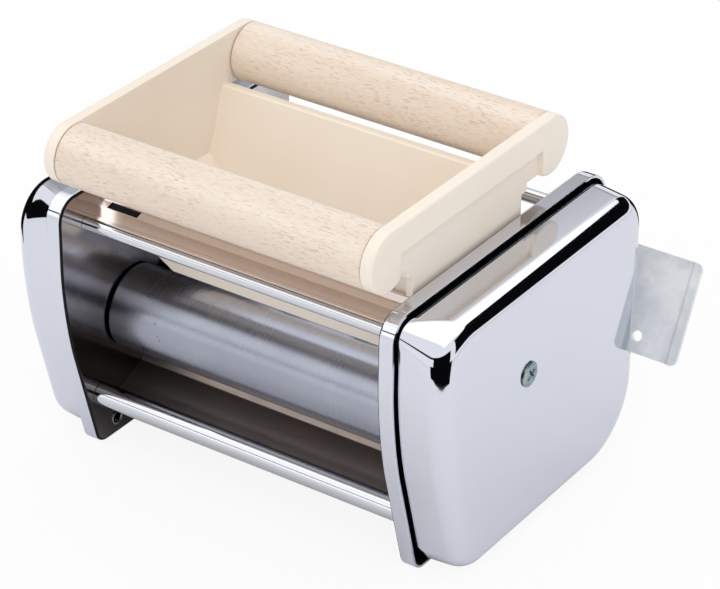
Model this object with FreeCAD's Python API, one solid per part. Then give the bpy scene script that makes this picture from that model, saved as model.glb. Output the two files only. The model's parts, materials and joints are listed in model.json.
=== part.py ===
import FreeCAD, Part
import math
import os

from FreeCAD import Vector

# Ravioli maker attachment. Millimetres, +Z up, X along the rollers, -Y towards
# the cook. While the parts are made, Y = 0 is the plane of the roller nip; they
# are written out with the origin under the middle of the whole object.

# ---- frame: two stamped side plates ----
PLATE_GAP = 131.8           # clear width between the side plates
PLATE_T = 1.0               # sheet thickness of a side plate
PLATE_FRONT = 55.1          # nip plane to the front edge
PLATE_REAR = 81.4           # nip plane to the rear edge
PLATE_HEIGHT = 107.0
PLATE_FOOT = 37.8           # nip plane to the front end of the flat underside
KNEE_DROP = 45.4            # top edge to where the front edge starts to slant back
KNEE_R = 147.0              # large radius that blends the slant
FRONT_TOP_R = 8.7
REAR_TOP_R = 13.4
REAR_FOOT_R = 31.0
FRONT_FOOT_R = 6.0
RIM_DEPTH = 6.1             # how far the outward rim of a plate stands out
RIM_BEND_R = 1.5

# ---- deep-drawn end covers, nested inside the rims ----
COVER_GAP = 2.4             # dark gap between rim and cover, front, top and rear
COVER_FOOT_GAP = 0.3        # the same at the underside
COVER_T = 0.8
COVER_DEPTH = 23.6          # plate's outer face to the cover's end face
COVER_BEND_R = 7.0          # wall to end face
COVER_FRONT_TOP_R = 17.0
COVER_REAR_TOP_R = 13.5
COVER_REAR_FOOT_R = 28.0
COVER_FRONT_FOOT_R = 14.0
SCREW_Y = 0.8               # central fastening of a cover
SCREW_RISE = 17.6           # roller axes to the cover screw, clear of the gears
STANDOFF_R = 4.5

# ---- rollers ----
ROLLER_R = 15.8
ROLLER_CENTRES = 32.0       # between the two roller axes
ROLLER_Z = 49.4
ROLLER_END_GAP = 2.4        # roller end to side plate
ROLLER_EDGE = 0.6
SHAFT_R = 5.0
RECESS_DEPTH = 3.0          # turned recess in a roller's end
RECESS_R_IN = 8.0
RECESS_R_OUT = 13.5
POCKET = 30.0               # side of one raviolo pocket along the roller
POCKET_WALL = 3.0           # land between two pockets
POCKETS_LONG = 3
POCKETS_ROUND = 3
POCKET_FLOOR_R = 9.6        # roller axis to the pocket's floor
POCKET_CORNER_R = 3.0
POCKET_EASE = 0.6           # how far a pocket's side stays inside its land

# ---- bushes, gears and the crank socket ----
BUSH_R = 7.0
BUSH_FLANGE_R = 9.0
BUSH_FLANGE_T = 1.5
BUSH_PROUD = 1.2            # how far a bush reaches inside its plate
BUSH_CLEARANCE = 0.05       # radial running clearance on a shaft
GEAR_TEETH = 16
GEAR_WIDTH = 6.0
GEAR_BACKLASH = 0.25
GEAR_SIDE_GAP = 0.5         # bush flange to gear
GEAR_TIP_TRIM = 0.15        # taken off the height of a tooth
DEDENDUM_SHARE = 1.25       # depth of a tooth below the pitch circle, in modules
PRESSURE_ANGLE = math.radians(20.0)
KEY_SIDE = 2.5
CLIP_T = 1.0
CLIP_R = 7.5
CLIP_GROOVE_R = 4.3
CLIP_GAP = 0.5
CLIP_MOUTH_SHARE = 0.7      # half opening of a clip, as a share of its groove's radius
SOCKET_R = 7.5
SOCKET_BORE_R = 4.1
SOCKET_SEAT = 4.0           # length of shaft inside the socket
SOCKET_WEB = 0.5            # wall between the shaft's end and the bore
SOCKET_SLOT = 2.6           # slot across the mouth for the crank's cross pin
SOCKET_SLOT_DEPTH = 3.0
SOCKET_SET_BACK = 0.6       # mouth behind the cover's end face
SOCKET_PIN_R = 1.0
COVER_HOLE_R = 9.5          # crank opening in the left cover

# ---- tie rods ----
TOP_ROD_R = 2.55
TOP_ROD_DROP = 13.1         # plate's top edge to the top rods' axes
FRONT_TOP_ROD_Y = -41.1
REAR_TOP_ROD_Y = 66.0
LOW_ROD_R = 4.2
LOW_ROD_Z = 21.4
FRONT_LOW_ROD_Y = -36.2
REAR_LOW_ROD_Y = 57.0
TOP_SCREW_R = 1.5
TOP_SCREW_HEAD_R = 2.8
TOP_SCREW_HEAD = 1.9
LOW_SCREW_R = 1.75
LOW_SCREW_HEAD_R = 2.85
LOW_SCREW_HEAD = 2.4
ROD_SCREW_LENGTH = 9.0      # shank length inside plate and rod

# ---- cover screws ----
COVER_SCREW_R = 2.5
COVER_SCREW_HEAD_R = 4.95
COVER_SCREW_HEAD = 1.8
COVER_SCREW_LENGTH = 11.0
SCREW_HOLE_PLAY = 0.2
HEAD_ROUND_SHARE = 0.55     # rounding of a pan head, as a share of its height
CROSS_REACH_SHARE = 0.52    # arm of the cross recess, as a share of the head's radius
CROSS_WIDTH_SHARE = 0.13
CROSS_FLOOR_SHARE = 0.4     # recess floor, as a share of the head's height

# ---- deck plates between the hopper and the top rods, scrapers below ----
SHEET_T = 0.9
DECK_DROP = 2.7             # plate's top edge to the flange that carries the hopper
DECK_FLANGE = 2.6
DECK_PLAY = 0.4             # hopper wall to deck flange
DECK_LAND = 1.0             # flat strip that lies on a top rod
SLOT_OUT_X = 59.5           # outer end of the openings in a deck plate
SLOT_IN_X = 50.0            # inner end at the upper edge
SLOT_SLANT = 4.5            # how much longer the lower edge is
SLOT_WIDTH = 2.2
SLOT_EDGE = 1.1             # bend of the deck to the upper edge of an opening
TAB_SHARE = 0.3             # half of a fixing tab, as a share of its sheet's run
SCRAPER_GAP = 0.6           # scraper edge to roller
SCRAPER_ANGLE = math.radians(50.0)
SCRAPER_KNEE_Y = 11.9
SCRAPER_KNEE_Z = 23.3
SCRAPER_LIP_Y = 22.7
SCRAPER_LIP_Z = 18.5
SCRAPER_END_Y = 30.4
SCRAPER_END_Z = 16.2

# ---- hopper and its beech rollers ----
DOWEL_R = 11.0
DOWEL_Y = 50.0
DOWEL_RISE = 18.8           # plate's top edge to the beech rollers' axes
DOWEL_END_GAP = 0.4
DOWEL_EDGE = 0.6
AXLE_R = 2.0
AXLE_CLEARANCE = 0.06
AXLE_SEAT = 1.8             # axle length inside a hopper end
AXLE_END_PLAY = 0.2
HOPPER_WALL = 1.8
END_WEB_T = 2.6
END_BAND_T = 1.8            # how far the rim band stands out from the web
HOPPER_PLAY = 0.7           # end web to side plate
BAND_HEIGHT = 10.4
LOBE_IN_Y = 44.0            # inner edge of the rounded lobes
WEB_STEP_RISE = 9.6         # plate's top edge to where the web narrows
WEB_MID_Y = 36.8
WEB_FOOT_RISE = 6.4         # plate's top edge to where it narrows again
WEB_FOOT_INSET = 1.2        # deck knee to the web's foot
LIP_RISE = 11.0             # plate's top edge to the top of the hopper's walls
LIP_IN_Y = 34.5             # inner face of a wall at the lip
LIP_DEPTH = 6.4             # outward flange of the lip
WALL_LEAN = math.radians(18.73)   # how far the front and rear walls lean in
MOUTH_GAP = 7.3             # rollers to the bottom of the hopper's mouth
FLOOR_DROP = 10.3           # deck to where the end floors start to slope in
THROAT_X = 41.0             # half width of the mouth along X
LIP_FILLET = 1.0
BAND_FILLET = 0.8

# ---- mounting tongues at the rear ----
TONGUE_T = 1.5
TONGUE_LEAN = math.radians(26.0)
TONGUE_Y = 84.0
TONGUE_Z = 32.4
TONGUE_HEIGHT = 38.4        # along the lean
TONGUE_REACH = 98.6         # middle plane to the start of the joggle
TONGUE_JOGGLE = 1.5
TONGUE_LIP = 3.2
TONGUE_CORNER_R = 2.5
LEG_Y = 62.0                # front end of the leg on the side plate
LEG_Z_LOW = 38.0
LEG_Z_HIGH = 60.0
HOLE_X = 85.2               # locating hole in a tongue
HOLE_UP = 6.4
HOLE_R = 2.0
RIVET_R = 1.6
RIVET_HEAD_R = 3.0
RIVET_HEAD = 1.1
RIVET_ROUND_SHARE = 0.7     # rounding of a rivet head, as a share of its height
RIVET_TAIL_SHARE = 0.8      # upset tail, as a share of the head's radius
RIVET_Y = 68.0
RIVET_Z = 43.0
RIVET_PITCH = 12.0
EYELET_Y = -27.5
EYELET_Z = 6.6
EYELET_R = 2.6
EYELET_RIM = 0.9            # how far its rolled rim overlaps the plate
EYELET_BORE_R = 1.9
EYELET_T = 0.4

THROUGH = 1.0               # how far a cut reaches past the face it opens

# ---- worked out from the driving dimensions ----
KNEE_Z = PLATE_HEIGHT - KNEE_DROP
SCREW_Z = ROLLER_Z + SCREW_RISE
TOP_ROD_Z = PLATE_HEIGHT - TOP_ROD_DROP
DECK_Z = PLATE_HEIGHT - DECK_DROP
DOWEL_Z = PLATE_HEIGHT + DOWEL_RISE
WEB_STEP_Z = PLATE_HEIGHT + WEB_STEP_RISE
WEB_FOOT_Z = PLATE_HEIGHT + WEB_FOOT_RISE
LIP_Z = PLATE_HEIGHT + LIP_RISE
HOPPER_FLOOR_Z = ROLLER_Z + ROLLER_R + MOUTH_GAP
FLOOR_TOP_Z = DECK_Z - FLOOR_DROP
PLATE_X = PLATE_GAP / 2.0
PLATE_OUT_X = PLATE_X + PLATE_T
COVER_END_X = PLATE_OUT_X + COVER_DEPTH
COVER_IN_X = COVER_END_X - COVER_T
ROLLER_Y = ROLLER_CENTRES / 2.0
ROLLER_X = PLATE_X - ROLLER_END_GAP
GEAR_MODULE = ROLLER_CENTRES / GEAR_TEETH
GEAR_X = PLATE_OUT_X + BUSH_FLANGE_T + GEAR_SIDE_GAP
GEAR_OUT_X = GEAR_X + GEAR_WIDTH
CLIP_X = PLATE_OUT_X + BUSH_FLANGE_T + CLIP_GAP
SOCKET_END_X = COVER_END_X - SOCKET_SET_BACK
SOCKET_BORE_LENGTH = SOCKET_END_X - GEAR_OUT_X - SOCKET_SEAT - SOCKET_WEB
WEB_OUT_X = PLATE_X - HOPPER_PLAY
WEB_IN_X = WEB_OUT_X - END_WEB_T
BAND_OUT_X = WEB_OUT_X + END_BAND_T
HOPPER_TOP_Z = DOWEL_Z + DOWEL_R
DOWEL_X = WEB_IN_X - DOWEL_END_GAP
HOPPER_SLOPE = math.tan(WALL_LEAN)
WALL_Y_T = HOPPER_WALL / math.cos(WALL_LEAN)
TONGUE_TOP_Y = TONGUE_Y + TONGUE_HEIGHT * math.sin(TONGUE_LEAN)
TONGUE_TOP_Z = TONGUE_Z + TONGUE_HEIGHT * math.cos(TONGUE_LEAN)


def wall_in_y(z):
    """Distance from the middle plane to a hopper wall's inner face at a height."""
    return LIP_IN_Y - HOPPER_SLOPE * (LIP_Z - z)


def wall_out_y(z):
    """Distance from the middle plane to a hopper wall's outer face at a height."""
    return wall_in_y(z) + WALL_Y_T


DECK_IN_Y = wall_out_y(DECK_Z) + DECK_PLAY
DECK_KNEE_Y = DECK_IN_Y + DECK_FLANGE
WEB_FOOT_Y = DECK_KNEE_Y - WEB_FOOT_INSET
FRONT_REACH = DOWEL_Y + DOWEL_R
REAR_REACH = TONGUE_TOP_Y + TONGUE_T * math.cos(TONGUE_LEAN)
ORIGIN_Y = (REAR_REACH - FRONT_REACH) / 2.0


# ---- outlines ----

def unit(start, end):
    """Unit vector from one (y, z) point to another."""
    dy = end[0] - start[0]
    dz = end[1] - start[1]
    length = math.hypot(dy, dz)
    return (dy / length, dz / length)


def inset(corners, distance):
    """Corners of a convex outline moved inwards by a distance."""
    moved = []
    for i, corner in enumerate(corners):
        a = unit(corner, corners[i - 1])
        b = unit(corner, corners[(i + 1) % len(corners)])
        reach = distance / abs(a[0] * b[1] - a[1] * b[0])
        moved.append((corner[0] + (a[0] + b[0]) * reach, corner[1] + (a[1] + b[1]) * reach))
    return moved


def rounded_wire(x, corners, radii):
    """Closed wire in the plane X = x: straight sides joined by tangent arcs."""
    arcs = []
    for i, corner in enumerate(corners):
        a = unit(corner, corners[i - 1])
        b = unit(corner, corners[(i + 1) % len(corners)])
        half = math.acos(max(-1.0, min(1.0, a[0] * b[0] + a[1] * b[1]))) / 2.0
        back = radii[i] / math.tan(half)
        reach = radii[i] / math.sin(half)
        middle = unit((0.0, 0.0), (a[0] + b[0], a[1] + b[1]))
        start = Vector(x, corner[0] + a[0] * back, corner[1] + a[1] * back)
        end = Vector(x, corner[0] + b[0] * back, corner[1] + b[1] * back)
        inner = reach - radii[i]
        crown = Vector(x, corner[0] + middle[0] * inner, corner[1] + middle[1] * inner)
        arcs.append((start, crown, end))
    edges = []
    for i, (start, crown, end) in enumerate(arcs):
        edges.append(Part.Arc(start, crown, end).toShape())
        edges.append(Part.LineSegment(end, arcs[(i + 1) % len(arcs)][0]).toShape())
    return Part.Wire(edges)


def prism(x, corners, radii, depth):
    """Rounded outline at X = x, extruded along +X."""
    return Part.Face(rounded_wire(x, corners, radii)).extrude(Vector(depth, 0, 0))


def polygon_prism(points, axis_start, depth):
    """Polygon of (y, z) points at X = axis_start, extruded along +X."""
    corners = [Vector(axis_start, y, z) for y, z in points]
    corners.append(corners[0])
    return Part.Face(Part.makePolygon(corners)).extrude(Vector(depth, 0, 0))


def edges_at_x(shape, x):
    """Edges that lie wholly in the plane X = x."""
    found = []
    for edge in shape.Edges:
        box = edge.BoundBox
        if abs(box.XMin - x) < 1e-4 and abs(box.XMax - x) < 1e-4:
            found.append(edge)
    return found


def edges_along_x(shape, points):
    """Edges parallel to X that pass through any of the (y, z) points."""
    found = []
    for edge in shape.Edges:
        box = edge.BoundBox
        if box.YLength > 1e-4 or box.ZLength > 1e-4:
            continue
        for y, z in points:
            if math.hypot(box.YMin - y, box.ZMin - z) < 1e-3:
                found.append(edge)
                break
    return found


def rod(x_start, x_end, y, z, radius):
    """Round bar along X."""
    return Part.makeCylinder(radius, x_end - x_start, Vector(x_start, y, z), Vector(1, 0, 0))


def block(x, y, z):
    """Box from three (low, high) pairs."""
    return Part.makeBox(x[1] - x[0], y[1] - y[0], z[1] - z[0], Vector(x[0], y[0], z[0]))


def mirror_x(shape):
    """The left-hand twin of a right-hand piece."""
    return shape.mirror(Vector(0, 0, 0), Vector(1, 0, 0))


def mirror_y(shape):
    """The rear twin of a piece that is made at the front."""
    return shape.mirror(Vector(0, 0, 0), Vector(0, 1, 0))


def both_sides(shape):
    """A right-hand piece and its left-hand twin, as one group."""
    return Part.makeCompound([shape, mirror_x(shape)])


# ---- bent sheet metal ----

def strip_outline(points, thickness):
    """Both faces of a bent sheet: a (y, z) line and its copy offset to the left."""
    far = []
    for i, point in enumerate(points):
        before = unit(points[i - 1], point) if i else None
        after = unit(point, points[i + 1]) if i + 1 < len(points) else None
        a = before or after
        b = after or before
        normal = unit((0.0, 0.0), (-(a[1] + b[1]), a[0] + b[0]))
        reach = thickness / (-a[1] * normal[0] + a[0] * normal[1])
        far.append((point[0] + normal[0] * reach, point[1] + normal[1] * reach))
    return points + far[::-1]


def run_part(start, end, low, high):
    """Sub-stretch of a straight run between two shares of its length."""
    first = (start[0] + (end[0] - start[0]) * low, start[1] + (end[1] - start[1]) * low)
    last = (start[0] + (end[0] - start[0]) * high, start[1] + (end[1] - start[1]) * high)
    return [first, last]


def fixing_tab(points, run):
    """Tab at the right end of a bent sheet, through the side plate's slot."""
    stretch = run_part(points[run], points[run + 1], 0.5 - TAB_SHARE, 0.5 + TAB_SHARE)
    return polygon_prism(strip_outline(stretch, SHEET_T), PLATE_X, PLATE_T)


def bent_sheet(points, tab_run):
    """Bent sheet across the whole gap, with a fixing tab at each end."""
    sheet = polygon_prism(strip_outline(points, SHEET_T), -PLATE_X, PLATE_GAP)
    tab = fixing_tab(points, tab_run)
    return sheet.fuse([tab, mirror_x(tab)]).removeSplitter()


def front_deck_line():
    """Lower face of the front deck, from the rod to the hopper."""
    land_z = TOP_ROD_Z + TOP_ROD_R
    rod_y = FRONT_TOP_ROD_Y
    low = DECK_Z - SHEET_T
    return [
        (-DECK_IN_Y, low),
        (-DECK_KNEE_Y, low),
        (rod_y + DECK_LAND, land_z),
        (rod_y - DECK_LAND, land_z),
    ]


def rear_deck_line():
    """Lower face of the rear deck, from the rod to the hopper."""
    land_z = TOP_ROD_Z + TOP_ROD_R
    rod_y = REAR_TOP_ROD_Y
    low = DECK_Z - SHEET_T
    return [
        (DECK_IN_Y, low),
        (DECK_KNEE_Y, low),
        (rod_y - DECK_LAND, land_z),
        (rod_y + DECK_LAND, land_z),
    ]


def scraper_line():
    """Upper face of the front scraper, from its working edge outwards."""
    reach = ROLLER_R + SCRAPER_GAP + SHEET_T
    edge_y = -ROLLER_Y + reach * math.cos(SCRAPER_ANGLE)
    edge_z = ROLLER_Z - reach * math.sin(SCRAPER_ANGLE)
    return [
        (edge_y, edge_z),
        (-SCRAPER_KNEE_Y, SCRAPER_KNEE_Z),
        (-SCRAPER_LIP_Y, SCRAPER_LIP_Z),
        (-SCRAPER_END_Y, SCRAPER_END_Z),
    ]


def deck(points):
    """Deck plate, bent along a line, with an opening near each end of its slope."""
    side = 1.0 if points[-1][0] > 0.0 else -1.0
    plate = bent_sheet(points if side > 0.0 else points[::-1], 1)
    upper = points[1][0] + side * SLOT_EDGE
    lower = upper + side * SLOT_WIDTH
    corners = [
        Vector(SLOT_OUT_X, upper, TOP_ROD_Z),
        Vector(SLOT_IN_X, upper, TOP_ROD_Z),
        Vector(SLOT_IN_X - SLOT_SLANT, lower, TOP_ROD_Z),
        Vector(SLOT_OUT_X, lower, TOP_ROD_Z),
        Vector(SLOT_OUT_X, upper, TOP_ROD_Z),
    ]
    slot = Part.Face(Part.makePolygon(corners)).extrude(Vector(0, 0, DECK_Z))
    return plate.cut([slot, mirror_x(slot)])


# ---- side plates and covers ----

PLATE_CORNERS = [
    (-PLATE_FRONT, PLATE_HEIGHT),
    (PLATE_REAR, PLATE_HEIGHT),
    (PLATE_REAR, 0.0),
    (-PLATE_FOOT, 0.0),
    (-PLATE_FRONT, KNEE_Z),
]
PLATE_RADII = [FRONT_TOP_R, REAR_TOP_R, REAR_FOOT_R, FRONT_FOOT_R, KNEE_R]
COVER_INSET = PLATE_T + COVER_GAP
COVER_DROP = COVER_GAP - COVER_FOOT_GAP
FOOT_SLANT = (PLATE_FRONT - PLATE_FOOT) / KNEE_Z
COVER_CORNERS = [
    (-PLATE_FRONT, PLATE_HEIGHT),
    (PLATE_REAR, PLATE_HEIGHT),
    (PLATE_REAR, -COVER_DROP),
    (FOOT_SLANT * COVER_DROP - PLATE_FOOT, -COVER_DROP),
    (-PLATE_FRONT, KNEE_Z),
]
COVER_RADII = [
    max(COVER_FRONT_TOP_R, FRONT_TOP_R - COVER_INSET),
    max(COVER_REAR_TOP_R, REAR_TOP_R - COVER_INSET),
    max(COVER_REAR_FOOT_R, REAR_FOOT_R - COVER_INSET),
    max(COVER_FRONT_FOOT_R, FRONT_FOOT_R - COVER_INSET),
    KNEE_R,
]


def rod_places():
    """Every tie rod: name, y, z, radius."""
    return [
        ("front_top_rod", FRONT_TOP_ROD_Y, TOP_ROD_Z, TOP_ROD_R),
        ("rear_top_rod", REAR_TOP_ROD_Y, TOP_ROD_Z, TOP_ROD_R),
        ("front_lower_rod", FRONT_LOW_ROD_Y, LOW_ROD_Z, LOW_ROD_R),
        ("rear_lower_rod", REAR_LOW_ROD_Y, LOW_ROD_Z, LOW_ROD_R),
    ]


def side_plate(tabs):
    """Right side plate: a pressed tray, open outwards, with all its holes."""
    tray = prism(PLATE_X, PLATE_CORNERS, PLATE_RADII, RIM_DEPTH)
    tray = tray.makeFillet(RIM_BEND_R, edges_at_x(tray, PLATE_X))
    inner_radii = [radius - PLATE_T for radius in PLATE_RADII]
    tray = tray.cut(prism(PLATE_OUT_X, inset(PLATE_CORNERS, PLATE_T), inner_radii, RIM_DEPTH))
    reach = (PLATE_X - PLATE_T, PLATE_OUT_X + PLATE_T)
    holes = [rod(*reach, side * ROLLER_Y, ROLLER_Z, BUSH_R) for side in (-1, 1)]
    for name, y, z, radius in rod_places():
        screw_r = TOP_SCREW_R if "top" in name else LOW_SCREW_R
        holes.append(rod(*reach, y, z, screw_r))
    holes.append(rod(*reach, SCREW_Y, SCREW_Z, COVER_SCREW_R))
    holes.append(rod(*reach, EYELET_Y, EYELET_Z, EYELET_R))
    for place in range(2):
        holes.append(rod(*reach, RIVET_Y, RIVET_Z + place * RIVET_PITCH, RIVET_R))
    return tray.cut(holes + tabs)


def end_cover():
    """Right end cover: a deep-drawn shell that stands on the side plate."""
    shell = prism(PLATE_OUT_X, inset(COVER_CORNERS, COVER_INSET), COVER_RADII, COVER_DEPTH)
    shell = shell.makeFillet(COVER_BEND_R, edges_at_x(shell, COVER_END_X))
    inner_radii = [radius - COVER_T for radius in COVER_RADII]
    depth = COVER_DEPTH - COVER_T
    hollow = prism(PLATE_OUT_X, inset(COVER_CORNERS, COVER_INSET + COVER_T), inner_radii, depth)
    hollow = hollow.makeFillet(COVER_BEND_R - COVER_T, edges_at_x(hollow, COVER_IN_X))
    hole_r = COVER_SCREW_R + SCREW_HOLE_PLAY
    hole = rod(COVER_IN_X - THROUGH, COVER_END_X + THROUGH, SCREW_Y, SCREW_Z, hole_r)
    return shell.cut([hollow, hole])


def cover_standoff():
    """Pillar riveted to a side plate, tapped for the cover screw."""
    pillar = rod(PLATE_OUT_X, COVER_IN_X, SCREW_Y, SCREW_Z, STANDOFF_R)
    spigot = rod(PLATE_X, PLATE_OUT_X, SCREW_Y, SCREW_Z, COVER_SCREW_R)
    tapped = rod(COVER_END_X - COVER_SCREW_LENGTH, COVER_IN_X, SCREW_Y, SCREW_Z, COVER_SCREW_R)
    return pillar.fuse(spigot).cut(tapped)


def pan_screw(x, y, z, shank_r, length, head_r, head):
    """Cross-recess pan screw: underside of the head at x, shank along -X."""
    cap = rod(x, x + head, y, z, head_r)
    rim = edges_at_x(cap, x + head)
    cap = cap.makeFillet(min(head, head_r) * HEAD_ROUND_SHARE, rim)
    screw = cap.fuse(rod(x - length, x, y, z, shank_r)).removeSplitter()
    arm = head_r * CROSS_REACH_SHARE
    width = head_r * CROSS_WIDTH_SHARE
    depth = (x + head * CROSS_FLOOR_SHARE, x + head + THROUGH)
    wings = block(depth, (y - arm, y + arm), (z - width, z + width))
    wings = wings.fuse(block(depth, (y - width, y + width), (z - arm, z + arm)))
    return screw.cut(wings)


def tie_rod(y, z, radius, screw_r):
    """Rod between the side plates, tapped at both ends."""
    bar = rod(-PLATE_X, PLATE_X, y, z, radius)
    tapped = rod(PLATE_OUT_X - ROD_SCREW_LENGTH, PLATE_X, y, z, screw_r)
    return bar.cut([tapped, mirror_x(tapped)])


def rod_screws(kind, shank_r, head_r, head):
    """All the screws of the top or the lower rods."""
    screws = []
    for name, y, z, radius in rod_places():
        if kind in name:
            screw = pan_screw(PLATE_OUT_X, y, z, shank_r, ROD_SCREW_LENGTH, head_r, head)
            screws.append(screw)
            screws.append(mirror_x(screw))
    return Part.makeCompound(screws)


def eyelet():
    """Hollow rivet low at the front of the right side plate."""
    ring_r = EYELET_R + EYELET_RIM
    barrel = rod(PLATE_X, PLATE_OUT_X, EYELET_Y, EYELET_Z, EYELET_R)
    inner = rod(PLATE_X - EYELET_T, PLATE_X, EYELET_Y, EYELET_Z, ring_r)
    outer = rod(PLATE_OUT_X, PLATE_OUT_X + EYELET_T, EYELET_Y, EYELET_Z, ring_r)
    reach = (PLATE_X - THROUGH, PLATE_OUT_X + THROUGH)
    bore = rod(*reach, EYELET_Y, EYELET_Z, EYELET_BORE_R)
    return barrel.fuse([inner, outer]).removeSplitter().cut(bore)


# ---- rollers and drive ----

def bush(y):
    """Flanged bush in the right side plate."""
    barrel = rod(PLATE_X - BUSH_PROUD, PLATE_OUT_X, y, ROLLER_Z, BUSH_R)
    flange_end = PLATE_OUT_X + BUSH_FLANGE_T
    flange = rod(PLATE_OUT_X, flange_end, y, ROLLER_Z, BUSH_FLANGE_R)
    reach = (PLATE_X - BUSH_PROUD - THROUGH, flange_end + THROUGH)
    bore = rod(*reach, y, ROLLER_Z, SHAFT_R + BUSH_CLEARANCE)
    return barrel.fuse(flange).removeSplitter().cut(bore)


def plain_roller(y):
    """Roller blank with turned end recesses and a hole for its shaft."""
    body = rod(-ROLLER_X, ROLLER_X, y, ROLLER_Z, ROLLER_R)
    rims = edges_at_x(body, ROLLER_X) + edges_at_x(body, -ROLLER_X)
    body = body.makeChamfer(ROLLER_EDGE, rims)
    recess = rod(ROLLER_X - RECESS_DEPTH, ROLLER_X, y, ROLLER_Z, RECESS_R_OUT)
    recess = recess.cut(rod(ROLLER_X - RECESS_DEPTH, ROLLER_X, y, ROLLER_Z, RECESS_R_IN))
    shaft_hole = rod(-ROLLER_X, ROLLER_X, y, ROLLER_Z, SHAFT_R)
    return body.cut([recess, mirror_x(recess), shaft_hole])


def pocket_tool():
    """Cutter for one pocket, above the axis of a roller at the origin."""
    pitch = 2.0 * math.pi * ROLLER_R / POCKETS_ROUND
    half_angle = (pitch - POCKET_WALL) / ROLLER_R / 2.0
    half = ROLLER_R * math.sin(half_angle) - POCKET_EASE
    depth = ROLLER_R - POCKET_FLOOR_R + THROUGH
    tool = block(
        (-POCKET / 2.0, POCKET / 2.0),
        (-half, half),
        (POCKET_FLOOR_R, POCKET_FLOOR_R + depth),
    )
    posts = [edge for edge in tool.Edges if abs(edge.BoundBox.ZLength - depth) < 1e-4]
    return tool.makeFillet(POCKET_CORNER_R, posts)


def forming_roller(y):
    """Roller with rows of square pockets."""
    cutters = []
    for row in range(POCKETS_LONG):
        x = (row - (POCKETS_LONG - 1) / 2.0) * (POCKET + POCKET_WALL / 2.0)
        for turn in range(POCKETS_ROUND):
            cutter = pocket_tool()
            cutter.rotate(Vector(0, 0, 0), Vector(1, 0, 0), 360.0 * turn / POCKETS_ROUND)
            cutter.translate(Vector(x, y, ROLLER_Z))
            cutters.append(cutter)
    return plain_roller(y).cut(cutters)


def clip_groove(x, y):
    """Groove tool for a retaining clip, from x outwards."""
    ring = rod(x, x + CLIP_T, y, ROLLER_Z, SHAFT_R + THROUGH)
    return ring.cut(rod(x, x + CLIP_T, y, ROLLER_Z, CLIP_GROOVE_R))


def retaining_clip(x, y):
    """Open spring clip that sits in a shaft's groove."""
    ring = rod(x, x + CLIP_T, y, ROLLER_Z, CLIP_R)
    reach = (x - THROUGH, x + CLIP_T + THROUGH)
    ring = ring.cut(rod(*reach, y, ROLLER_Z, CLIP_GROOVE_R))
    mouth = CLIP_GROOVE_R * CLIP_MOUTH_SHARE
    gap = block(reach, (y - mouth, y + mouth), (ROLLER_Z - CLIP_R - THROUGH, ROLLER_Z))
    return ring.cut(gap)


def key_block(y, clearance):
    """Square key half in the shaft and half in the gear, at the left end."""
    half = KEY_SIDE / 2.0 + clearance
    middle = ROLLER_Z + SHAFT_R
    return block((-GEAR_OUT_X, -GEAR_X), (y - half, y + half), (middle - half, middle + half))


def front_shaft():
    """Driven shaft: left end in the crank socket, right end held by a clip."""
    y = -ROLLER_Y
    right = CLIP_X + 2.0 * CLIP_T
    left = GEAR_OUT_X + SOCKET_SEAT
    bar = rod(-left, right, y, ROLLER_Z, SHAFT_R)
    pin = socket_pin()
    return bar.cut([clip_groove(CLIP_X, y), key_block(y, 0.0), pin])


def rear_shaft():
    """Shaft of the forming roller, held by a clip at each end."""
    y = ROLLER_Y
    right = CLIP_X + 2.0 * CLIP_T
    left = GEAR_OUT_X + 2.0 * CLIP_T
    bar = rod(-left, right, y, ROLLER_Z, SHAFT_R)
    left_groove = clip_groove(-GEAR_OUT_X - CLIP_T, y)
    return bar.cut([clip_groove(CLIP_X, y), left_groove, key_block(y, 0.0)])


def socket_pin():
    """Cross pin that fixes the crank socket to the front shaft."""
    x = -(GEAR_OUT_X + SOCKET_SEAT / 2.0)
    start = Vector(x, -ROLLER_Y, ROLLER_Z - SOCKET_R)
    return Part.makeCylinder(SOCKET_PIN_R, 2.0 * SOCKET_R, start, Vector(0, 0, 1))


def crank_socket():
    """Sleeve on the front shaft's left end that takes the crank's tip."""
    y = -ROLLER_Y
    sleeve = rod(-SOCKET_END_X, -GEAR_OUT_X, y, ROLLER_Z, SOCKET_R)
    seat = rod(-GEAR_OUT_X - SOCKET_SEAT, -GEAR_OUT_X, y, ROLLER_Z, SHAFT_R)
    bore = rod(-SOCKET_END_X, -SOCKET_END_X + SOCKET_BORE_LENGTH, y, ROLLER_Z, SOCKET_BORE_R)
    slot = block(
        (-SOCKET_END_X, -SOCKET_END_X + SOCKET_SLOT_DEPTH),
        (y - SOCKET_R, y + SOCKET_R),
        (ROLLER_Z - SOCKET_SLOT / 2.0, ROLLER_Z + SOCKET_SLOT / 2.0),
    )
    return sleeve.cut([seat, bore, slot, socket_pin()])


def involute(radius, base_r):
    """Polar angle of an involute at a radius, from its start on the base circle."""
    angle = math.acos(min(1.0, base_r / radius))
    return math.tan(angle) - angle


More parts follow.
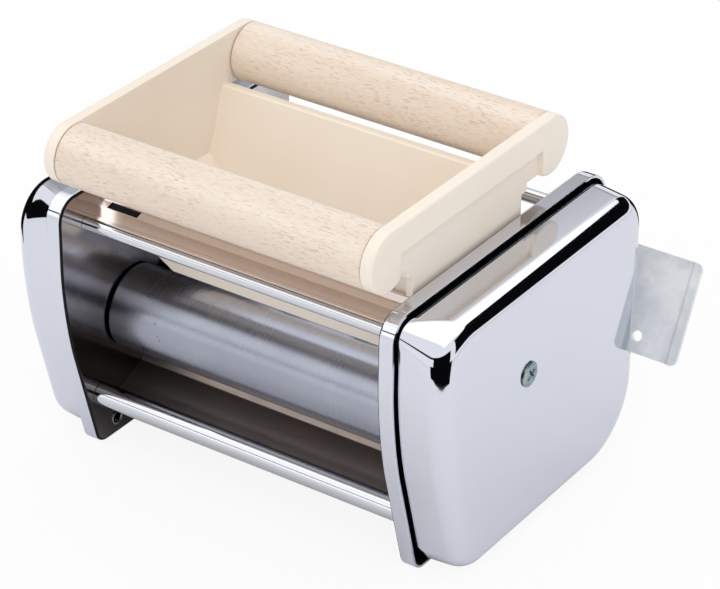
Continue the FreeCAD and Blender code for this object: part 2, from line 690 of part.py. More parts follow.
def gear(y, turn):
    """Spur gear on a shaft's left end; turn is its angle in tooth pitches."""
    pitch_r = GEAR_MODULE * GEAR_TEETH / 2.0
    base_r = pitch_r * math.cos(PRESSURE_ANGLE)
    tip_r = pitch_r + GEAR_MODULE - GEAR_TIP_TRIM
    root_r = pitch_r - DEDENDUM_SHARE * GEAR_MODULE
    thickness = math.pi * GEAR_MODULE / 2.0 - GEAR_BACKLASH
    half_base = thickness / 2.0 / pitch_r + involute(pitch_r, base_r)
    x = -GEAR_OUT_X

    def point(radius, angle):
        return Vector(x, y + radius * math.cos(angle), ROLLER_Z + radius * math.sin(angle))

    steps = [base_r + (tip_r - base_r) * share for share in (0.0, 0.15, 0.4, 0.7, 1.0)]
    pitch = 2.0 * math.pi / GEAR_TEETH
    edges = []
    for tooth in range(GEAR_TEETH):
        middle = pitch * (tooth + turn)
        rising = [point(r, middle - half_base + involute(r, base_r)) for r in steps]
        falling = [point(r, middle + half_base - involute(r, base_r)) for r in steps][::-1]
        root_start = point(root_r, middle - half_base)
        root_end = point(root_r, middle + half_base)
        edges.append(Part.LineSegment(root_start, rising[0]).toShape())
        for side in (rising, falling):
            curve = Part.BSplineCurve()
            curve.interpolate(side)
            edges.append(curve.toShape())
            if side is rising:
                edges.append(Part.Arc(rising[-1], point(tip_r, middle), falling[0]).toShape())
        edges.append(Part.LineSegment(falling[-1], root_end).toShape())
        valley = point(root_r, middle + pitch / 2.0)
        next_start = point(root_r, middle + pitch - half_base)
        edges.append(Part.Arc(root_end, valley, next_start).toShape())
    wheel = Part.Face(Part.Wire(edges)).extrude(Vector(GEAR_WIDTH, 0, 0))
    bore = rod(-GEAR_OUT_X, -GEAR_X, y, ROLLER_Z, SHAFT_R)
    return wheel.cut([bore, key_block(y, 0.0)])


# ---- hopper ----

def end_outline(low_z, half_y):
    """Prism corners of a hopper end below a height, following the leaning walls."""
    return [(-half_y, DECK_Z), (half_y, DECK_Z), (wall_out_y(low_z), low_z), (-wall_out_y(low_z), low_z)]


def hopper_end():
    """Right end of the hopper: web, raised band and the two round lobes."""
    web = block((WEB_IN_X, WEB_OUT_X), (-LOBE_IN_Y, LOBE_IN_Y), (WEB_STEP_Z, HOPPER_TOP_Z))
    middle = block((WEB_IN_X, WEB_OUT_X), (-WEB_MID_Y, WEB_MID_Y), (WEB_FOOT_Z, WEB_STEP_Z))
    foot = block((WEB_IN_X, WEB_OUT_X), (-WEB_FOOT_Y, WEB_FOOT_Y), (DECK_Z, WEB_FOOT_Z))
    tail = end_outline(FLOOR_TOP_Z, wall_out_y(DECK_Z))
    tail = polygon_prism(tail, WEB_IN_X, END_WEB_T)
    depth = BAND_OUT_X - WEB_IN_X
    band_z = (HOPPER_TOP_Z - BAND_HEIGHT, HOPPER_TOP_Z)
    band = block((WEB_IN_X, BAND_OUT_X), (-DOWEL_Y, DOWEL_Y), band_z)
    pieces = [middle, foot, tail, band]
    for side in (-1, 1):
        lobe = rod(WEB_IN_X, WEB_IN_X + depth, side * DOWEL_Y, DOWEL_Z, DOWEL_R)
        reach = sorted((side * LOBE_IN_Y, side * (DOWEL_Y + DOWEL_R + THROUGH)))
        keep_z = (DOWEL_Z - DOWEL_R - THROUGH, HOPPER_TOP_Z)
        keep = block((WEB_IN_X, BAND_OUT_X), reach, keep_z)
        pieces.append(lobe.common(keep))
    end = web.fuse(pieces).removeSplitter()
    end = end.makeFillet(BAND_FILLET, outer_rim(end))
    bores = []
    for side in (-1, 1):
        radius = AXLE_R + AXLE_CLEARANCE
        bore_end = WEB_IN_X + AXLE_SEAT + AXLE_END_PLAY
        bores.append(rod(WEB_IN_X, bore_end, side * DOWEL_Y, DOWEL_Z, radius))
    return end.cut(bores)


def outer_rim(end):
    """Edges round the top and ends of the raised band's outer face."""
    rim = []
    for edge in edges_at_x(end, BAND_OUT_X):
        top = abs(edge.BoundBox.ZMin - HOPPER_TOP_Z) < 1e-4
        if top or isinstance(edge.Curve, Part.Circle):
            rim.append(edge)
    return rim


def walls_outline():
    """Outer outline of the two leaning walls, from the lips to the mouth."""
    low = HOPPER_FLOOR_Z
    return [
        (-wall_out_y(LIP_Z), LIP_Z),
        (wall_out_y(LIP_Z), LIP_Z),
        (wall_out_y(low), low),
        (-wall_out_y(low), low),
    ]


def hopper_walls():
    """Leaning front and rear walls with their outward lips."""
    low = HOPPER_FLOOR_Z
    outer = walls_outline()
    inner = [
        (-wall_in_y(LIP_Z), LIP_Z),
        (wall_in_y(LIP_Z), LIP_Z),
        (wall_in_y(low), low),
        (-wall_in_y(low), low),
    ]
    tub = polygon_prism(outer, -WEB_IN_X, 2.0 * WEB_IN_X)
    for side in (-1, 1):
        reach = sorted((side * wall_in_y(LIP_Z), side * (LIP_IN_Y + LIP_DEPTH)))
        tub = tub.fuse(block((-WEB_IN_X, WEB_IN_X), reach, (LIP_Z - HOPPER_WALL, LIP_Z)))
    tub = tub.removeSplitter().cut(polygon_prism(inner, -WEB_IN_X, 2.0 * WEB_IN_X))
    outer_lip = LIP_IN_Y + LIP_DEPTH
    crests = [(side * wall_in_y(LIP_Z), LIP_Z) for side in (-1, 1)]
    crests += [(side * outer_lip, LIP_Z) for side in (-1, 1)]
    return tub.makeFillet(LIP_FILLET, edges_along_x(tub, crests))


def hopper_floor():
    """Right end floor, sloping from the end web in to the mouth above the rollers."""
    reach = wall_out_y(FLOOR_TOP_Z)
    corners = [
        Vector(WEB_IN_X, -reach, FLOOR_TOP_Z),
        Vector(WEB_OUT_X, -reach, FLOOR_TOP_Z),
        Vector(THROAT_X + END_WEB_T, -reach, HOPPER_FLOOR_Z),
        Vector(THROAT_X, -reach, HOPPER_FLOOR_Z),
        Vector(WEB_IN_X, -reach, FLOOR_TOP_Z),
    ]
    plate = Part.Face(Part.makePolygon(corners)).extrude(Vector(0, 2.0 * reach, 0))
    return plate.common(polygon_prism(walls_outline(), 0.0, WEB_OUT_X))


def hopper():
    """One-piece moulded hopper."""
    end = hopper_end()
    floor = hopper_floor()
    body = hopper_walls().fuse([end, mirror_x(end), floor, mirror_x(floor)])
    return body.removeSplitter()


def dowel(side):
    """Beech roller between the hopper's ends."""
    body = rod(-DOWEL_X, DOWEL_X, side * DOWEL_Y, DOWEL_Z, DOWEL_R)
    rims = edges_at_x(body, DOWEL_X) + edges_at_x(body, -DOWEL_X)
    body = body.makeChamfer(DOWEL_EDGE, rims)
    return body.cut(dowel_axle(side))


def dowel_axle(side):
    """Steel axle through a beech roller, its ends in the hopper's blind bores."""
    end = WEB_IN_X + AXLE_SEAT
    return rod(-end, end, side * DOWEL_Y, DOWEL_Z, AXLE_R)


# ---- mounting tongues ----

def tongue_blade():
    """Leaning blade with a joggled outer edge, made upright and then leaned."""
    start_x = PLATE_X - TONGUE_T
    line = [
        (start_x, 0.0),
        (TONGUE_REACH, 0.0),
        (TONGUE_REACH + TONGUE_JOGGLE, -TONGUE_JOGGLE),
        (TONGUE_REACH + TONGUE_JOGGLE + TONGUE_LIP, -TONGUE_JOGGLE),
    ]
    corners = [Vector(x, y, 0.0) for x, y in strip_outline(line, TONGUE_T)]
    corners.append(corners[0])
    blade = Part.Face(Part.makePolygon(corners)).extrude(Vector(0, 0, TONGUE_HEIGHT))
    far_x = line[-1][0]
    corner_edges = []
    for edge in blade.Edges:
        box = edge.BoundBox
        if abs(box.XMin - far_x) < 1e-4 and abs(box.XMax - far_x) < 1e-4 and box.YLength > 1e-3:
            corner_edges.append(edge)
    blade = blade.makeFillet(TONGUE_CORNER_R, corner_edges)
    start = Vector(HOLE_X, -2.0 * TONGUE_T, HOLE_UP)
    hole = Part.makeCylinder(HOLE_R, 4.0 * TONGUE_T, start, Vector(0, 1, 0))
    blade = blade.cut(hole)
    blade.rotate(Vector(0, 0, 0), Vector(1, 0, 0), -math.degrees(TONGUE_LEAN))
    blade.translate(Vector(0, TONGUE_Y, TONGUE_Z))
    return blade


def mounting_tongue():
    """Right mounting tongue: a leg on the side plate and the leaning blade."""
    leg = [
        (LEG_Y, LEG_Z_LOW),
        (LEG_Y, LEG_Z_HIGH),
        (TONGUE_TOP_Y, TONGUE_TOP_Z),
        (TONGUE_Y, TONGUE_Z),
    ]
    leg = polygon_prism(leg, PLATE_X - TONGUE_T, TONGUE_T)
    tongue = leg.fuse(tongue_blade()).removeSplitter()
    holes = []
    for place in range(2):
        z = RIVET_Z + place * RIVET_PITCH
        holes.append(rod(PLATE_X - 2.0 * TONGUE_T, PLATE_X, RIVET_Y, z, RIVET_R))
    return tongue.cut(holes)


def rivet(z):
    """Rivet through a tongue's leg and the right side plate."""
    inner_x = PLATE_X - TONGUE_T
    shank = rod(inner_x, PLATE_OUT_X, RIVET_Y, z, RIVET_R)
    head = rod(inner_x - RIVET_HEAD, inner_x, RIVET_Y, z, RIVET_HEAD_R)
    head = head.makeFillet(RIVET_HEAD * RIVET_ROUND_SHARE, edges_at_x(head, inner_x - RIVET_HEAD))
    tail_r = RIVET_HEAD_R * RIVET_TAIL_SHARE
    tail = rod(PLATE_OUT_X, PLATE_OUT_X + RIVET_HEAD, RIVET_Y, z, tail_r)
    return shank.fuse([head, tail]).removeSplitter()


# ---- the whole object ----

def build_nodes():
    """Every named piece, in the frame whose Y = 0 is the nip plane."""
    front_tab = fixing_tab(front_deck_line()[::-1], 1)
    rear_tab = fixing_tab(rear_deck_line(), 1)
    front_scraper_tab = fixing_tab(scraper_line()[::-1], 1)
    tabs = [front_tab, rear_tab, front_scraper_tab, mirror_y(front_scraper_tab)]
    plate = side_plate(tabs)
    cover = end_cover()
    reach = (COVER_IN_X - THROUGH, COVER_END_X + THROUGH)
    crank_hole = rod(*reach, -ROLLER_Y, ROLLER_Z, COVER_HOLE_R)
    standoff = cover_standoff()
    cover_screw = pan_screw(
        COVER_END_X,
        SCREW_Y,
        SCREW_Z,
        COVER_SCREW_R,
        COVER_SCREW_LENGTH,
        COVER_SCREW_HEAD_R,
        COVER_SCREW_HEAD,
    )
    scraper = bent_sheet(scraper_line()[::-1], 1)
    front_bush = bush(-ROLLER_Y)
    rear_bush = bush(ROLLER_Y)
    tongue = mounting_tongue()
    rivets = [rivet(RIVET_Z + place * RIVET_PITCH) for place in range(2)]
    rivets += [mirror_x(item) for item in rivets]
    nodes = {
        "right_side_plate": plate,
        "left_side_plate": mirror_x(plate),
        "right_end_cover": cover,
        "left_end_cover": mirror_x(cover.cut(crank_hole)),
        "cover_standoffs": both_sides(standoff),
        "cover_screws": both_sides(cover_screw),
        "plate_eyelets": both_sides(eyelet()),
        "front_deck_plate": deck(front_deck_line()),
        "rear_deck_plate": deck(rear_deck_line()),
        "front_scraper": scraper,
        "rear_scraper": mirror_y(scraper),
        "top_rod_screws": rod_screws("top", TOP_SCREW_R, TOP_SCREW_HEAD_R, TOP_SCREW_HEAD),
        "lower_rod_screws": rod_screws("lower", LOW_SCREW_R, LOW_SCREW_HEAD_R, LOW_SCREW_HEAD),
        "right_front_bush": front_bush,
        "right_rear_bush": rear_bush,
        "left_front_bush": mirror_x(front_bush),
        "left_rear_bush": mirror_x(rear_bush),
        "right_mounting_tongue": tongue,
        "left_mounting_tongue": mirror_x(tongue),
        "tongue_rivets": Part.makeCompound(rivets),
        "front_roller": plain_roller(-ROLLER_Y),
        "front_roller_shaft": front_shaft(),
        "drive_gear": gear(-ROLLER_Y, 0.0),
        "drive_gear_key": key_block(-ROLLER_Y, 0.0),
        "crank_socket": crank_socket(),
        "crank_socket_pin": socket_pin(),
        "front_shaft_clip": retaining_clip(CLIP_X, -ROLLER_Y),
        "rear_roller": forming_roller(ROLLER_Y),
        "rear_roller_shaft": rear_shaft(),
        "driven_gear": gear(ROLLER_Y, 0.5),
        "driven_gear_key": key_block(ROLLER_Y, 0.0),
        "rear_shaft_clips": Part.makeCompound([
            retaining_clip(CLIP_X, ROLLER_Y),
            retaining_clip(-GEAR_OUT_X - CLIP_T, ROLLER_Y),
        ]),
        "hopper": hopper(),
        "front_dowel": dowel(-1),
        "rear_dowel": dowel(1),
        "front_dowel_axle": dowel_axle(-1),
        "rear_dowel_axle": dowel_axle(1),
    }
    for name, y, z, radius in rod_places():
        screw_r = TOP_SCREW_R if "top" in name else LOW_SCREW_R
        nodes[name] = tie_rod(y, z, radius, screw_r)
    return nodes


def main():
    """Write one STEP file per piece, with the origin under the middle."""
    os.makedirs("parts", exist_ok=True)
    for name, shape in build_nodes().items():
        placed = shape.copy()
        placed.translate(Vector(0, -ORIGIN_Y, 0))
        placed.exportStep("parts/" + name + ".step")


main()
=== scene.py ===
"""Ravioli maker attachment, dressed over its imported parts.

Metres, +Z up, X along the rollers, -Y towards the cook. Sizes in the classes
are millimetres, with Y = 0 in the plane of the roller nip.
"""

import json
import logging
import math
from collections.abc import Iterable, Sequence
from dataclasses import dataclass
from enum import Enum
from typing import Any

import bmesh
import bpy
from mathutils import Matrix, Vector

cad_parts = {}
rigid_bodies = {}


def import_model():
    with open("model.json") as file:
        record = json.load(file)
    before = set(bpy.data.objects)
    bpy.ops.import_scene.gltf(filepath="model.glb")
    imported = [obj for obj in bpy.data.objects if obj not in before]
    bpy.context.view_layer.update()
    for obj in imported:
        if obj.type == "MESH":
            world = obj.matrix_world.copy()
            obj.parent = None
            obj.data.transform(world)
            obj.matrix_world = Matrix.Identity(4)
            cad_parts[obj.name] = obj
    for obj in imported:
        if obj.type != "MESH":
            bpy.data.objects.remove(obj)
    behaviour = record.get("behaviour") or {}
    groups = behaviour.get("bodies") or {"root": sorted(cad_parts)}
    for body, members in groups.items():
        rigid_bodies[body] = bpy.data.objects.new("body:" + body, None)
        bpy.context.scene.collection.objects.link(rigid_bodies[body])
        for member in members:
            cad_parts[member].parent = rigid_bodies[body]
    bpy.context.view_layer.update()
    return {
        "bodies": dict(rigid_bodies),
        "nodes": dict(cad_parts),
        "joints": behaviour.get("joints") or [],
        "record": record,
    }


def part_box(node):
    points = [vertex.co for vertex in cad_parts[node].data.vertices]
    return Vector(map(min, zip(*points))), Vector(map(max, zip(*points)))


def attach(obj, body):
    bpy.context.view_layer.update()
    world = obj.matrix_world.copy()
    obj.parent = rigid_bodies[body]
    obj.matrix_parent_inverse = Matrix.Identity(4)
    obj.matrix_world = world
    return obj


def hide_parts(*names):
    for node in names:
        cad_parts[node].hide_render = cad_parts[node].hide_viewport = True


LOG = logging.getLogger("ravioli_maker")

Colour = tuple[float, float, float]
Point = tuple[float, float]
BMesh = bmesh.types.BMesh
BMEdge = bmesh.types.BMEdge
BMFace = bmesh.types.BMFace
BMVert = bmesh.types.BMVert

WHITE = (1.0, 1.0, 1.0, 1.0)

# In metres.
MILLIMETRE = 0.001
MIDDLE_HEIGHT = 0.06  # about the middle of the object
SEAM = 2e-7  # loose corners closer than this are joined

# In degrees.
SHARP_ANGLE = 35.0
EASED_SHARP_ANGLE = 80.0  # where a round already softens the edges
FLAT_ANGLE = 0.4  # facets that bend less than this are one face

# In millimetres.
SAME_SPOT = 1e-4  # points closer than this are one
PLANE_SLACK = 1e-2  # how far a circle may lie off its plane
RADIUS_SLACK = 2e-2  # how far it may be off its radius
LEAST_CORNER = 0.5  # smallest corner radius inside a pressing
LEAST_BEND = 0.4  # smallest bend inside a pressing

SHELL_FACETS = 36  # round each corner of a pressing
BEND_FACETS = 6  # across a bend of folded sheet


class Body(Enum):
    """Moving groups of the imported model."""

    FRAME = "frame"
    FRONT_ROLLER = "front_roller"
    REAR_ROLLER = "rear_roller"
    HOPPER = "hopper"
    FRONT_DOWEL = "front_dowel"
    REAR_DOWEL = "rear_dowel"


class Slot(Enum):
    """Material slots that the record names."""

    CHROME = "chrome"
    SATIN = "satin_steel"
    STEEL = "plain_steel"
    ZINC = "zinc"
    BRASS = "brass"
    CREAM = "cream_plastic"
    BEECH = "beech"


class Side(Enum):
    """Which end of the attachment a piece is at, as the sign of its X."""

    RIGHT = 1
    LEFT = -1

    @property
    def word(self) -> str:
        """The side's name as the nodes spell it."""
        return self.name.lower()


def ink(red: int, green: int, blue: int) -> Colour:
    """Turn a screen colour into the linear colour that shaders take.

    Args:
        red: Red, 0 to 255.
        green: Green, 0 to 255.
        blue: Blue, 0 to 255.

    Returns:
        The same colour, linear, 0 to 1.
    """
    parts = [value / 255.0 for value in (red, green, blue)]
    curve = [v / 12.92 if v <= 0.04045 else ((v + 0.055) / 1.055) ** 2.4 for v in parts]
    return (curve[0], curve[1], curve[2])


# ---- shader maths and node trees ----


class Signal:
    """A value inside a material; arithmetic on it adds Math nodes."""

    def __init__(self, graph: "Graph", socket: bpy.types.NodeSocket) -> None:
        """Wrap a socket.

        Args:
            graph: The node tree that the socket belongs to.
            socket: The output that carries the value.
        """
        self.graph = graph
        self.socket = socket

    def _math(self, operation: str, first: Any, second: Any = None) -> "Signal":
        """Add one Math node.

        Args:
            operation: Name of the Math operation.
            first: First value or signal.
            second: Second value or signal, if the operation takes one.

        Returns:
            The node's result.
        """
        inputs = {0: first} if second is None else {0: first, 1: second}
        made = self.graph.node("ShaderNodeMath", {"operation": operation}, inputs)
        return Signal(self.graph, made.outputs[0])

    def __add__(self, other: Any) -> "Signal":
        """Sum with a value or signal."""
        return self._math("ADD", self, other)

    def __radd__(self, other: Any) -> "Signal":
        """Sum with a value on the left."""
        return self._math("ADD", other, self)

    def __sub__(self, other: Any) -> "Signal":
        """Difference from a value or signal."""
        return self._math("SUBTRACT", self, other)

    def __rsub__(self, other: Any) -> "Signal":
        """Difference with a value on the left."""
        return self._math("SUBTRACT", other, self)

    def __mul__(self, other: Any) -> "Signal":
        """Product with a value or signal."""
        return self._math("MULTIPLY", self, other)

    def __rmul__(self, other: Any) -> "Signal":
        """Product with a value on the left."""
        return self._math("MULTIPLY", other, self)

    def clip(self) -> "Signal":
        """This value held between 0 and 1."""
        return self._math("MINIMUM", self._math("MAXIMUM", self, 0.0), 1.0)

    def step(self, low: float, high: float) -> "Signal":
        """Ramp smoothly from 0 at one value to 1 at another.

        Args:
            low: Value that gives 0.
            high: Value that gives 1.

        Returns:
            The ramped signal.
        """
        made = self.graph.node(
            "ShaderNodeMapRange",
            {"interpolation_type": "SMOOTHSTEP"},
            {"Value": self, "From Min": low, "From Max": high},
        )
        return Signal(self.graph, made.outputs["Result"])


class Graph:
    """A node tree that is filled through one method."""

    def __init__(self, tree: bpy.types.NodeTree) -> None:
        """Empty a node tree and take it over.

        Args:
            tree: The tree of a material or of the world.
        """
        self.tree = tree
        self.tree.nodes.clear()

    def node(
        self,
        kind: str,
        settings: dict[str, Any] | None = None,
        inputs: dict[str | int, Any] | None = None,
    ) -> bpy.types.Node:
        """Add a node.

        Args:
            kind: Type of the node.
            settings: Properties of the node, set first.
            inputs: Values, sockets or signals by input name or number.

        Returns:
            The new node.
        """
        made = self.tree.nodes.new(kind)
        for key, value in (settings or {}).items():
            setattr(made, key, value)
        for key, value in (inputs or {}).items():
            source = value.socket if isinstance(value, Signal) else value
            if isinstance(source, bpy.types.NodeSocket):
                self.tree.links.new(source, made.inputs[key])
            else:
                made.inputs[key].default_value = source
        return made

    def seen_by(self, camera: float, glossy: float, transmission: float) -> Signal:
        """Share of a glow, by the kind of ray that meets it.

        Args:
            camera: Share for what the camera sees.
            glossy: Share for what polished metal shows.
            transmission: Share for what shows through.

        Returns:
            The share, 0 for the light that falls on the object.
        """
        path = self.node("ShaderNodeLightPath").outputs
        share = Signal(self, path["Is Camera Ray"]) * camera
        share = share + Signal(self, path["Is Glossy Ray"]) * glossy
        return share + Signal(self, path["Is Transmission Ray"]) * transmission


class Recipe(Graph):
    """The node tree of one finish, read in the piece's own metres."""

    def __init__(self, name: str) -> None:
        """Start an empty material.

        Args:
            name: Name of the material.
        """
        self.material = bpy.data.materials.new(name)
        self.material.use_nodes = True
        super().__init__(self.material.node_tree)
        self.place = self.node("ShaderNodeTexCoord").outputs["Object"]

    def stretched(
        self,
        scale: tuple[float, float, float],
        turn: tuple[float, float, float] = (0.0, 0.0, 0.0),
        shift: float = 0.0,
    ) -> bpy.types.NodeSocket:
        """Stretch the piece's coordinates.

        Args:
            scale: Cycles per metre along each axis.
            turn: Rotation in radians, applied with the stretch.
            shift: Metres that the pattern is moved along X beforehand.

        Returns:
            The stretched coordinates.
        """
        where = self.place
        if shift:
            moved = {"Vector": where, "Location": (shift, 0.0, 0.0)}
            where = self.node("ShaderNodeMapping", None, moved).outputs["Vector"]
        inputs = {"Vector": where, "Scale": scale, "Rotation": turn}
        return self.node("ShaderNodeMapping", None, inputs).outputs["Vector"]

    def height(self) -> Signal:
        """Height of the shaded point, in metres."""
        parts = self.node("ShaderNodeSeparateXYZ", None, {"Vector": self.place})
        return Signal(self, parts.outputs["Z"])

    def noise(
        self,
        scale: float,
        detail: float = 2.0,
        where: bpy.types.NodeSocket | None = None,
        rough: float = 0.5,
    ) -> Signal:
        """Soft noise around 0.5.

        Args:
            scale: Cycles per unit of the coordinates.
            detail: Octaves of finer noise.
            where: Coordinates, the piece's own when left out.
            rough: Weight of the finer octaves.

        Returns:
            The noise.
        """
        inputs = {
            "Vector": self.place if where is None else where,
            "Scale": scale,
            "Detail": detail,
            "Roughness": rough,
        }
        return Signal(self, self.node("ShaderNodeTexNoise", None, inputs).outputs["Fac"])

    def cells(self, scale: float) -> Signal:
        """Distance to the nearest point of a cellular pattern.

        Args:
            scale: Cells per metre.

        Returns:
            The distance.
        """
        inputs = {"Vector": self.place, "Scale": scale}
        made = self.node("ShaderNodeTexVoronoi", None, inputs)
        return Signal(self, made.outputs["Distance"])

    def flakes(self, scale: float) -> Signal:
        """Flat cells, each with a value of its own.

        Args:
            scale: Cells per metre.

        Returns:
            The value, 0 to 1.
        """
        inputs = {"Vector": self.place, "Scale": scale}
        made = self.node("ShaderNodeTexVoronoi", None, inputs)
        parts = self.node("ShaderNodeSeparateColor", None, {"Color": made.outputs["Color"]})
        return Signal(self, parts.outputs["Red"])

    def mixed(self, amount: Any, low: Any, high: Any) -> bpy.types.NodeSocket:
        """Mix two colours.

        Args:
            amount: Share of the second colour.
            low: First colour or its socket.
            high: Second colour or its socket.

        Returns:
            The mixed colour.
        """
        ends = [(*c, 1.0) if isinstance(c, tuple) else c for c in (low, high)]
        # Sockets 6 and 7 are the colours; the same names serve its other kinds.
        inputs = {0: amount, 6: ends[0], 7: ends[1]}
        return self.node("ShaderNodeMix", {"data_type": "RGBA"}, inputs).outputs[2]

    def bump(self, height: Any, depth: float, strength: float = 1.0) -> bpy.types.NodeSocket:
        """Turn a height into a bent normal.

        Args:
            height: Height, 0 to 1.
            depth: Metres that a height of 1 stands for.
            strength: Share of the effect.

        Returns:
            The normal.
        """
        inputs = {"Height": height, "Distance": depth, "Strength": strength}
        return self.node("ShaderNodeBump", None, inputs).outputs["Normal"]

    def finish(self, **inputs: Any) -> bpy.types.Material:
        """Close the tree with a Principled shader.

        Args:
            inputs: Shader inputs, with "_" for the spaces in their names.

        Returns:
            The finished material.
        """
        named = {key.replace("_", " "): value for key, value in inputs.items()}
        for key, value in named.items():
            if isinstance(value, tuple) and len(value) == 3:
                named[key] = (*value, 1.0)
        shader = self.node("ShaderNodeBsdfPrincipled", None, named)
        self.node("ShaderNodeOutputMaterial", None, {"Surface": shader.outputs["BSDF"]})
        return self.material


# ---- finishes ----


@dataclass(frozen=True)
class Finish:
    """A named finish; each kind builds a material of its own."""

    name: str

    def material(self) -> bpy.types.Material:
        """Build the material, in the way of the kind."""
        raise NotImplementedError


@dataclass(frozen=True)
class ChromePlate(Finish):
    """Bright chrome over pressed steel, with the faint wave of a drawn sheet."""

    colour: Colour = ink(219, 222, 232)
    roughness: float = 0.045
    wave: float = 3.0e-5

    def material(self) -> bpy.types.Material:
        """Build the material.

        Returns:
            Mirror-bright plate, a little wavy, with wiped and specked places.
        """
        recipe = Recipe(self.name)
        wave = recipe.noise(16.0, 1.0) + recipe.noise(55.0, 1.0) * 0.18
        peel = recipe.noise(700.0, 2.0)
        bent = recipe.bump(wave + peel * 0.002, self.wave)
        smear = recipe.noise(38.0, 4.0, recipe.stretched((1.0, 0.35, 1.6), (0.4, 0.0, 0.3)))
        wiped = smear.step(0.52, 0.74)
        specks = recipe.cells(420.0).step(0.10, 0.02) * recipe.noise(60.0, 1.0).step(0.55, 0.62)
        rough = wiped * 0.035 + specks * 0.12 + self.roughness
        tint = recipe.mixed(wiped * 0.10, self.colour, ink(205, 208, 214))
        return recipe.finish(
            Base_Color=tint, Metallic=1.0, Roughness=rough, Normal=bent, IOR=2.5
        )


@dataclass(frozen=True)
class SatinSheet(Finish):
    """Unpolished inner face of a plated sheet: soft streaks, small dark marks, and painted shade
    towards the foot.
    """

    colour: Colour = ink(205, 201, 203)
    stain: Colour = ink(160, 150, 146)
    # Heights in metres over which the painted shade sets in towards the foot.
    clean: float = 0.084
    shaded_height: float = 0.036
    roughness: float = 0.12

    def material(self) -> bpy.types.Material:
        """Build the material.

        Returns:
            Streaked metal, with painted shade that darkens it towards the foot.
        """
        recipe = Recipe(self.name)
        cloud = recipe.noise(30.0, 3.0)
        streak = recipe.noise(1.0, 2.0, recipe.stretched((40.0, 26.0, 700.0), (0.25, 0.0, 0.0)))
        nicks = recipe.cells(210.0).step(0.12, 0.05) * recipe.noise(45.0, 1.0).step(0.57, 0.64)
        # Painted shade: darker towards the foot, where the sheet would mirror the shadow under the
        # object.
        shade = recipe.height().step(self.clean, self.shaded_height)
        tint = recipe.mixed(cloud.step(0.4, 0.75) * 0.6, self.colour, self.stain)
        # Small nicks and the painted shade both pull the colour towards dark brown.
        nicked_and_shaded = recipe.mixed((nicks * 0.6 + shade * 0.8).clip(), tint, ink(60, 54, 52))
        rough = (streak - 0.5) * 0.1 + cloud * 0.06 + nicks * 0.2 + self.roughness
        bent = recipe.bump(streak * 0.5 + cloud * 0.5 - nicks, 8.0e-6)
        return recipe.finish(Base_Color=nicked_and_shaded, Metallic=1.0, Roughness=rough.clip(), Normal=bent)


@dataclass(frozen=True)
class PaintedShadeBlack(Finish):
    """Painted shade: near-black and dull, for the insides of pressings and the pan under the deck's
    slot, where only shadow falls.
    """

    # Painted shade: this near-black colour stands in for the shadow in hollows and gaps.
    colour: Colour = (0.012, 0.012, 0.014)
    roughness: float = 0.5

    def material(self) -> bpy.types.Material:
        """Build the material.

        Returns:
            Nearly black, hardly shining.
        """
        recipe = Recipe(self.name)
        film = recipe.noise(90.0, 3.0)
        tint = recipe.mixed(film.step(0.4, 0.8) * 0.5, self.colour, (0.03, 0.028, 0.026))
        return recipe.finish(
            Base_Color=tint,
            Metallic=0.4,
            Roughness=film * 0.2 + self.roughness,
            Normal=recipe.bump(film, 1.0e-5),
            Specular_IOR_Level=0.2,
        )


@dataclass(frozen=True)
class TurnedSteel(Finish):
    """Lathe-turned steel: fine rings round the axis, small pits, a satin sheen."""

    colour: Colour = ink(161, 165, 178)
    roughness: float = 0.29
    rings: float = 1.0e-6

    def material(self) -> bpy.types.Material:
        """Build the material.

        Returns:
            Satin metal with fine rings along X.
        """
        recipe = Recipe(self.name)
        fine = recipe.noise(1.0, 2.0, recipe.stretched((2600.0, 18.0, 18.0)))
        broad = recipe.noise(1.0, 1.0, recipe.stretched((160.0, 6.0, 6.0)))
        cloud = recipe.noise(45.0, 3.0)
        pits = recipe.cells(260.0).step(0.13, 0.05) * recipe.noise(34.0, 1.0).step(0.58, 0.66)
        worn = recipe.mixed(cloud.step(0.35, 0.75) * 0.35, self.colour, ink(176, 180, 190))
        tint = recipe.mixed(pits * 0.55, worn, ink(92, 88, 86))
        rough = (fine - 0.5) * 0.12 + (broad - 0.5) * 0.06 + pits * 0.25 + self.roughness
        bent = recipe.bump(fine * 0.9 + broad * 0.1 - pits, self.rings)
        return recipe.finish(
            Base_Color=tint, Metallic=1.0, Roughness=rough.clip(), Normal=bent
        )


@dataclass(frozen=True)
class BrightSteel(Finish):
    """Drawn or cut steel of the small parts, a little oily."""

    colour: Colour = ink(188, 190, 196)
    roughness: float = 0.26

    def material(self) -> bpy.types.Material:
        """Build the material.

        Returns:
            Drawn metal under an uneven film of oil.
        """
        recipe = Recipe(self.name)
        drawn = recipe.noise(1.0, 2.0, recipe.stretched((90.0, 1300.0, 1300.0)))
        film = recipe.noise(120.0, 3.0)
        tint = recipe.mixed(film.step(0.45, 0.75) * 0.4, self.colour, ink(150, 146, 140))
        rough = (drawn - 0.5) * 0.15 + film * 0.08 + self.roughness
        return recipe.finish(
            Base_Color=tint,
            Metallic=1.0,
            Roughness=rough.clip(),
            Normal=recipe.bump(drawn, 2.0e-6),
        )


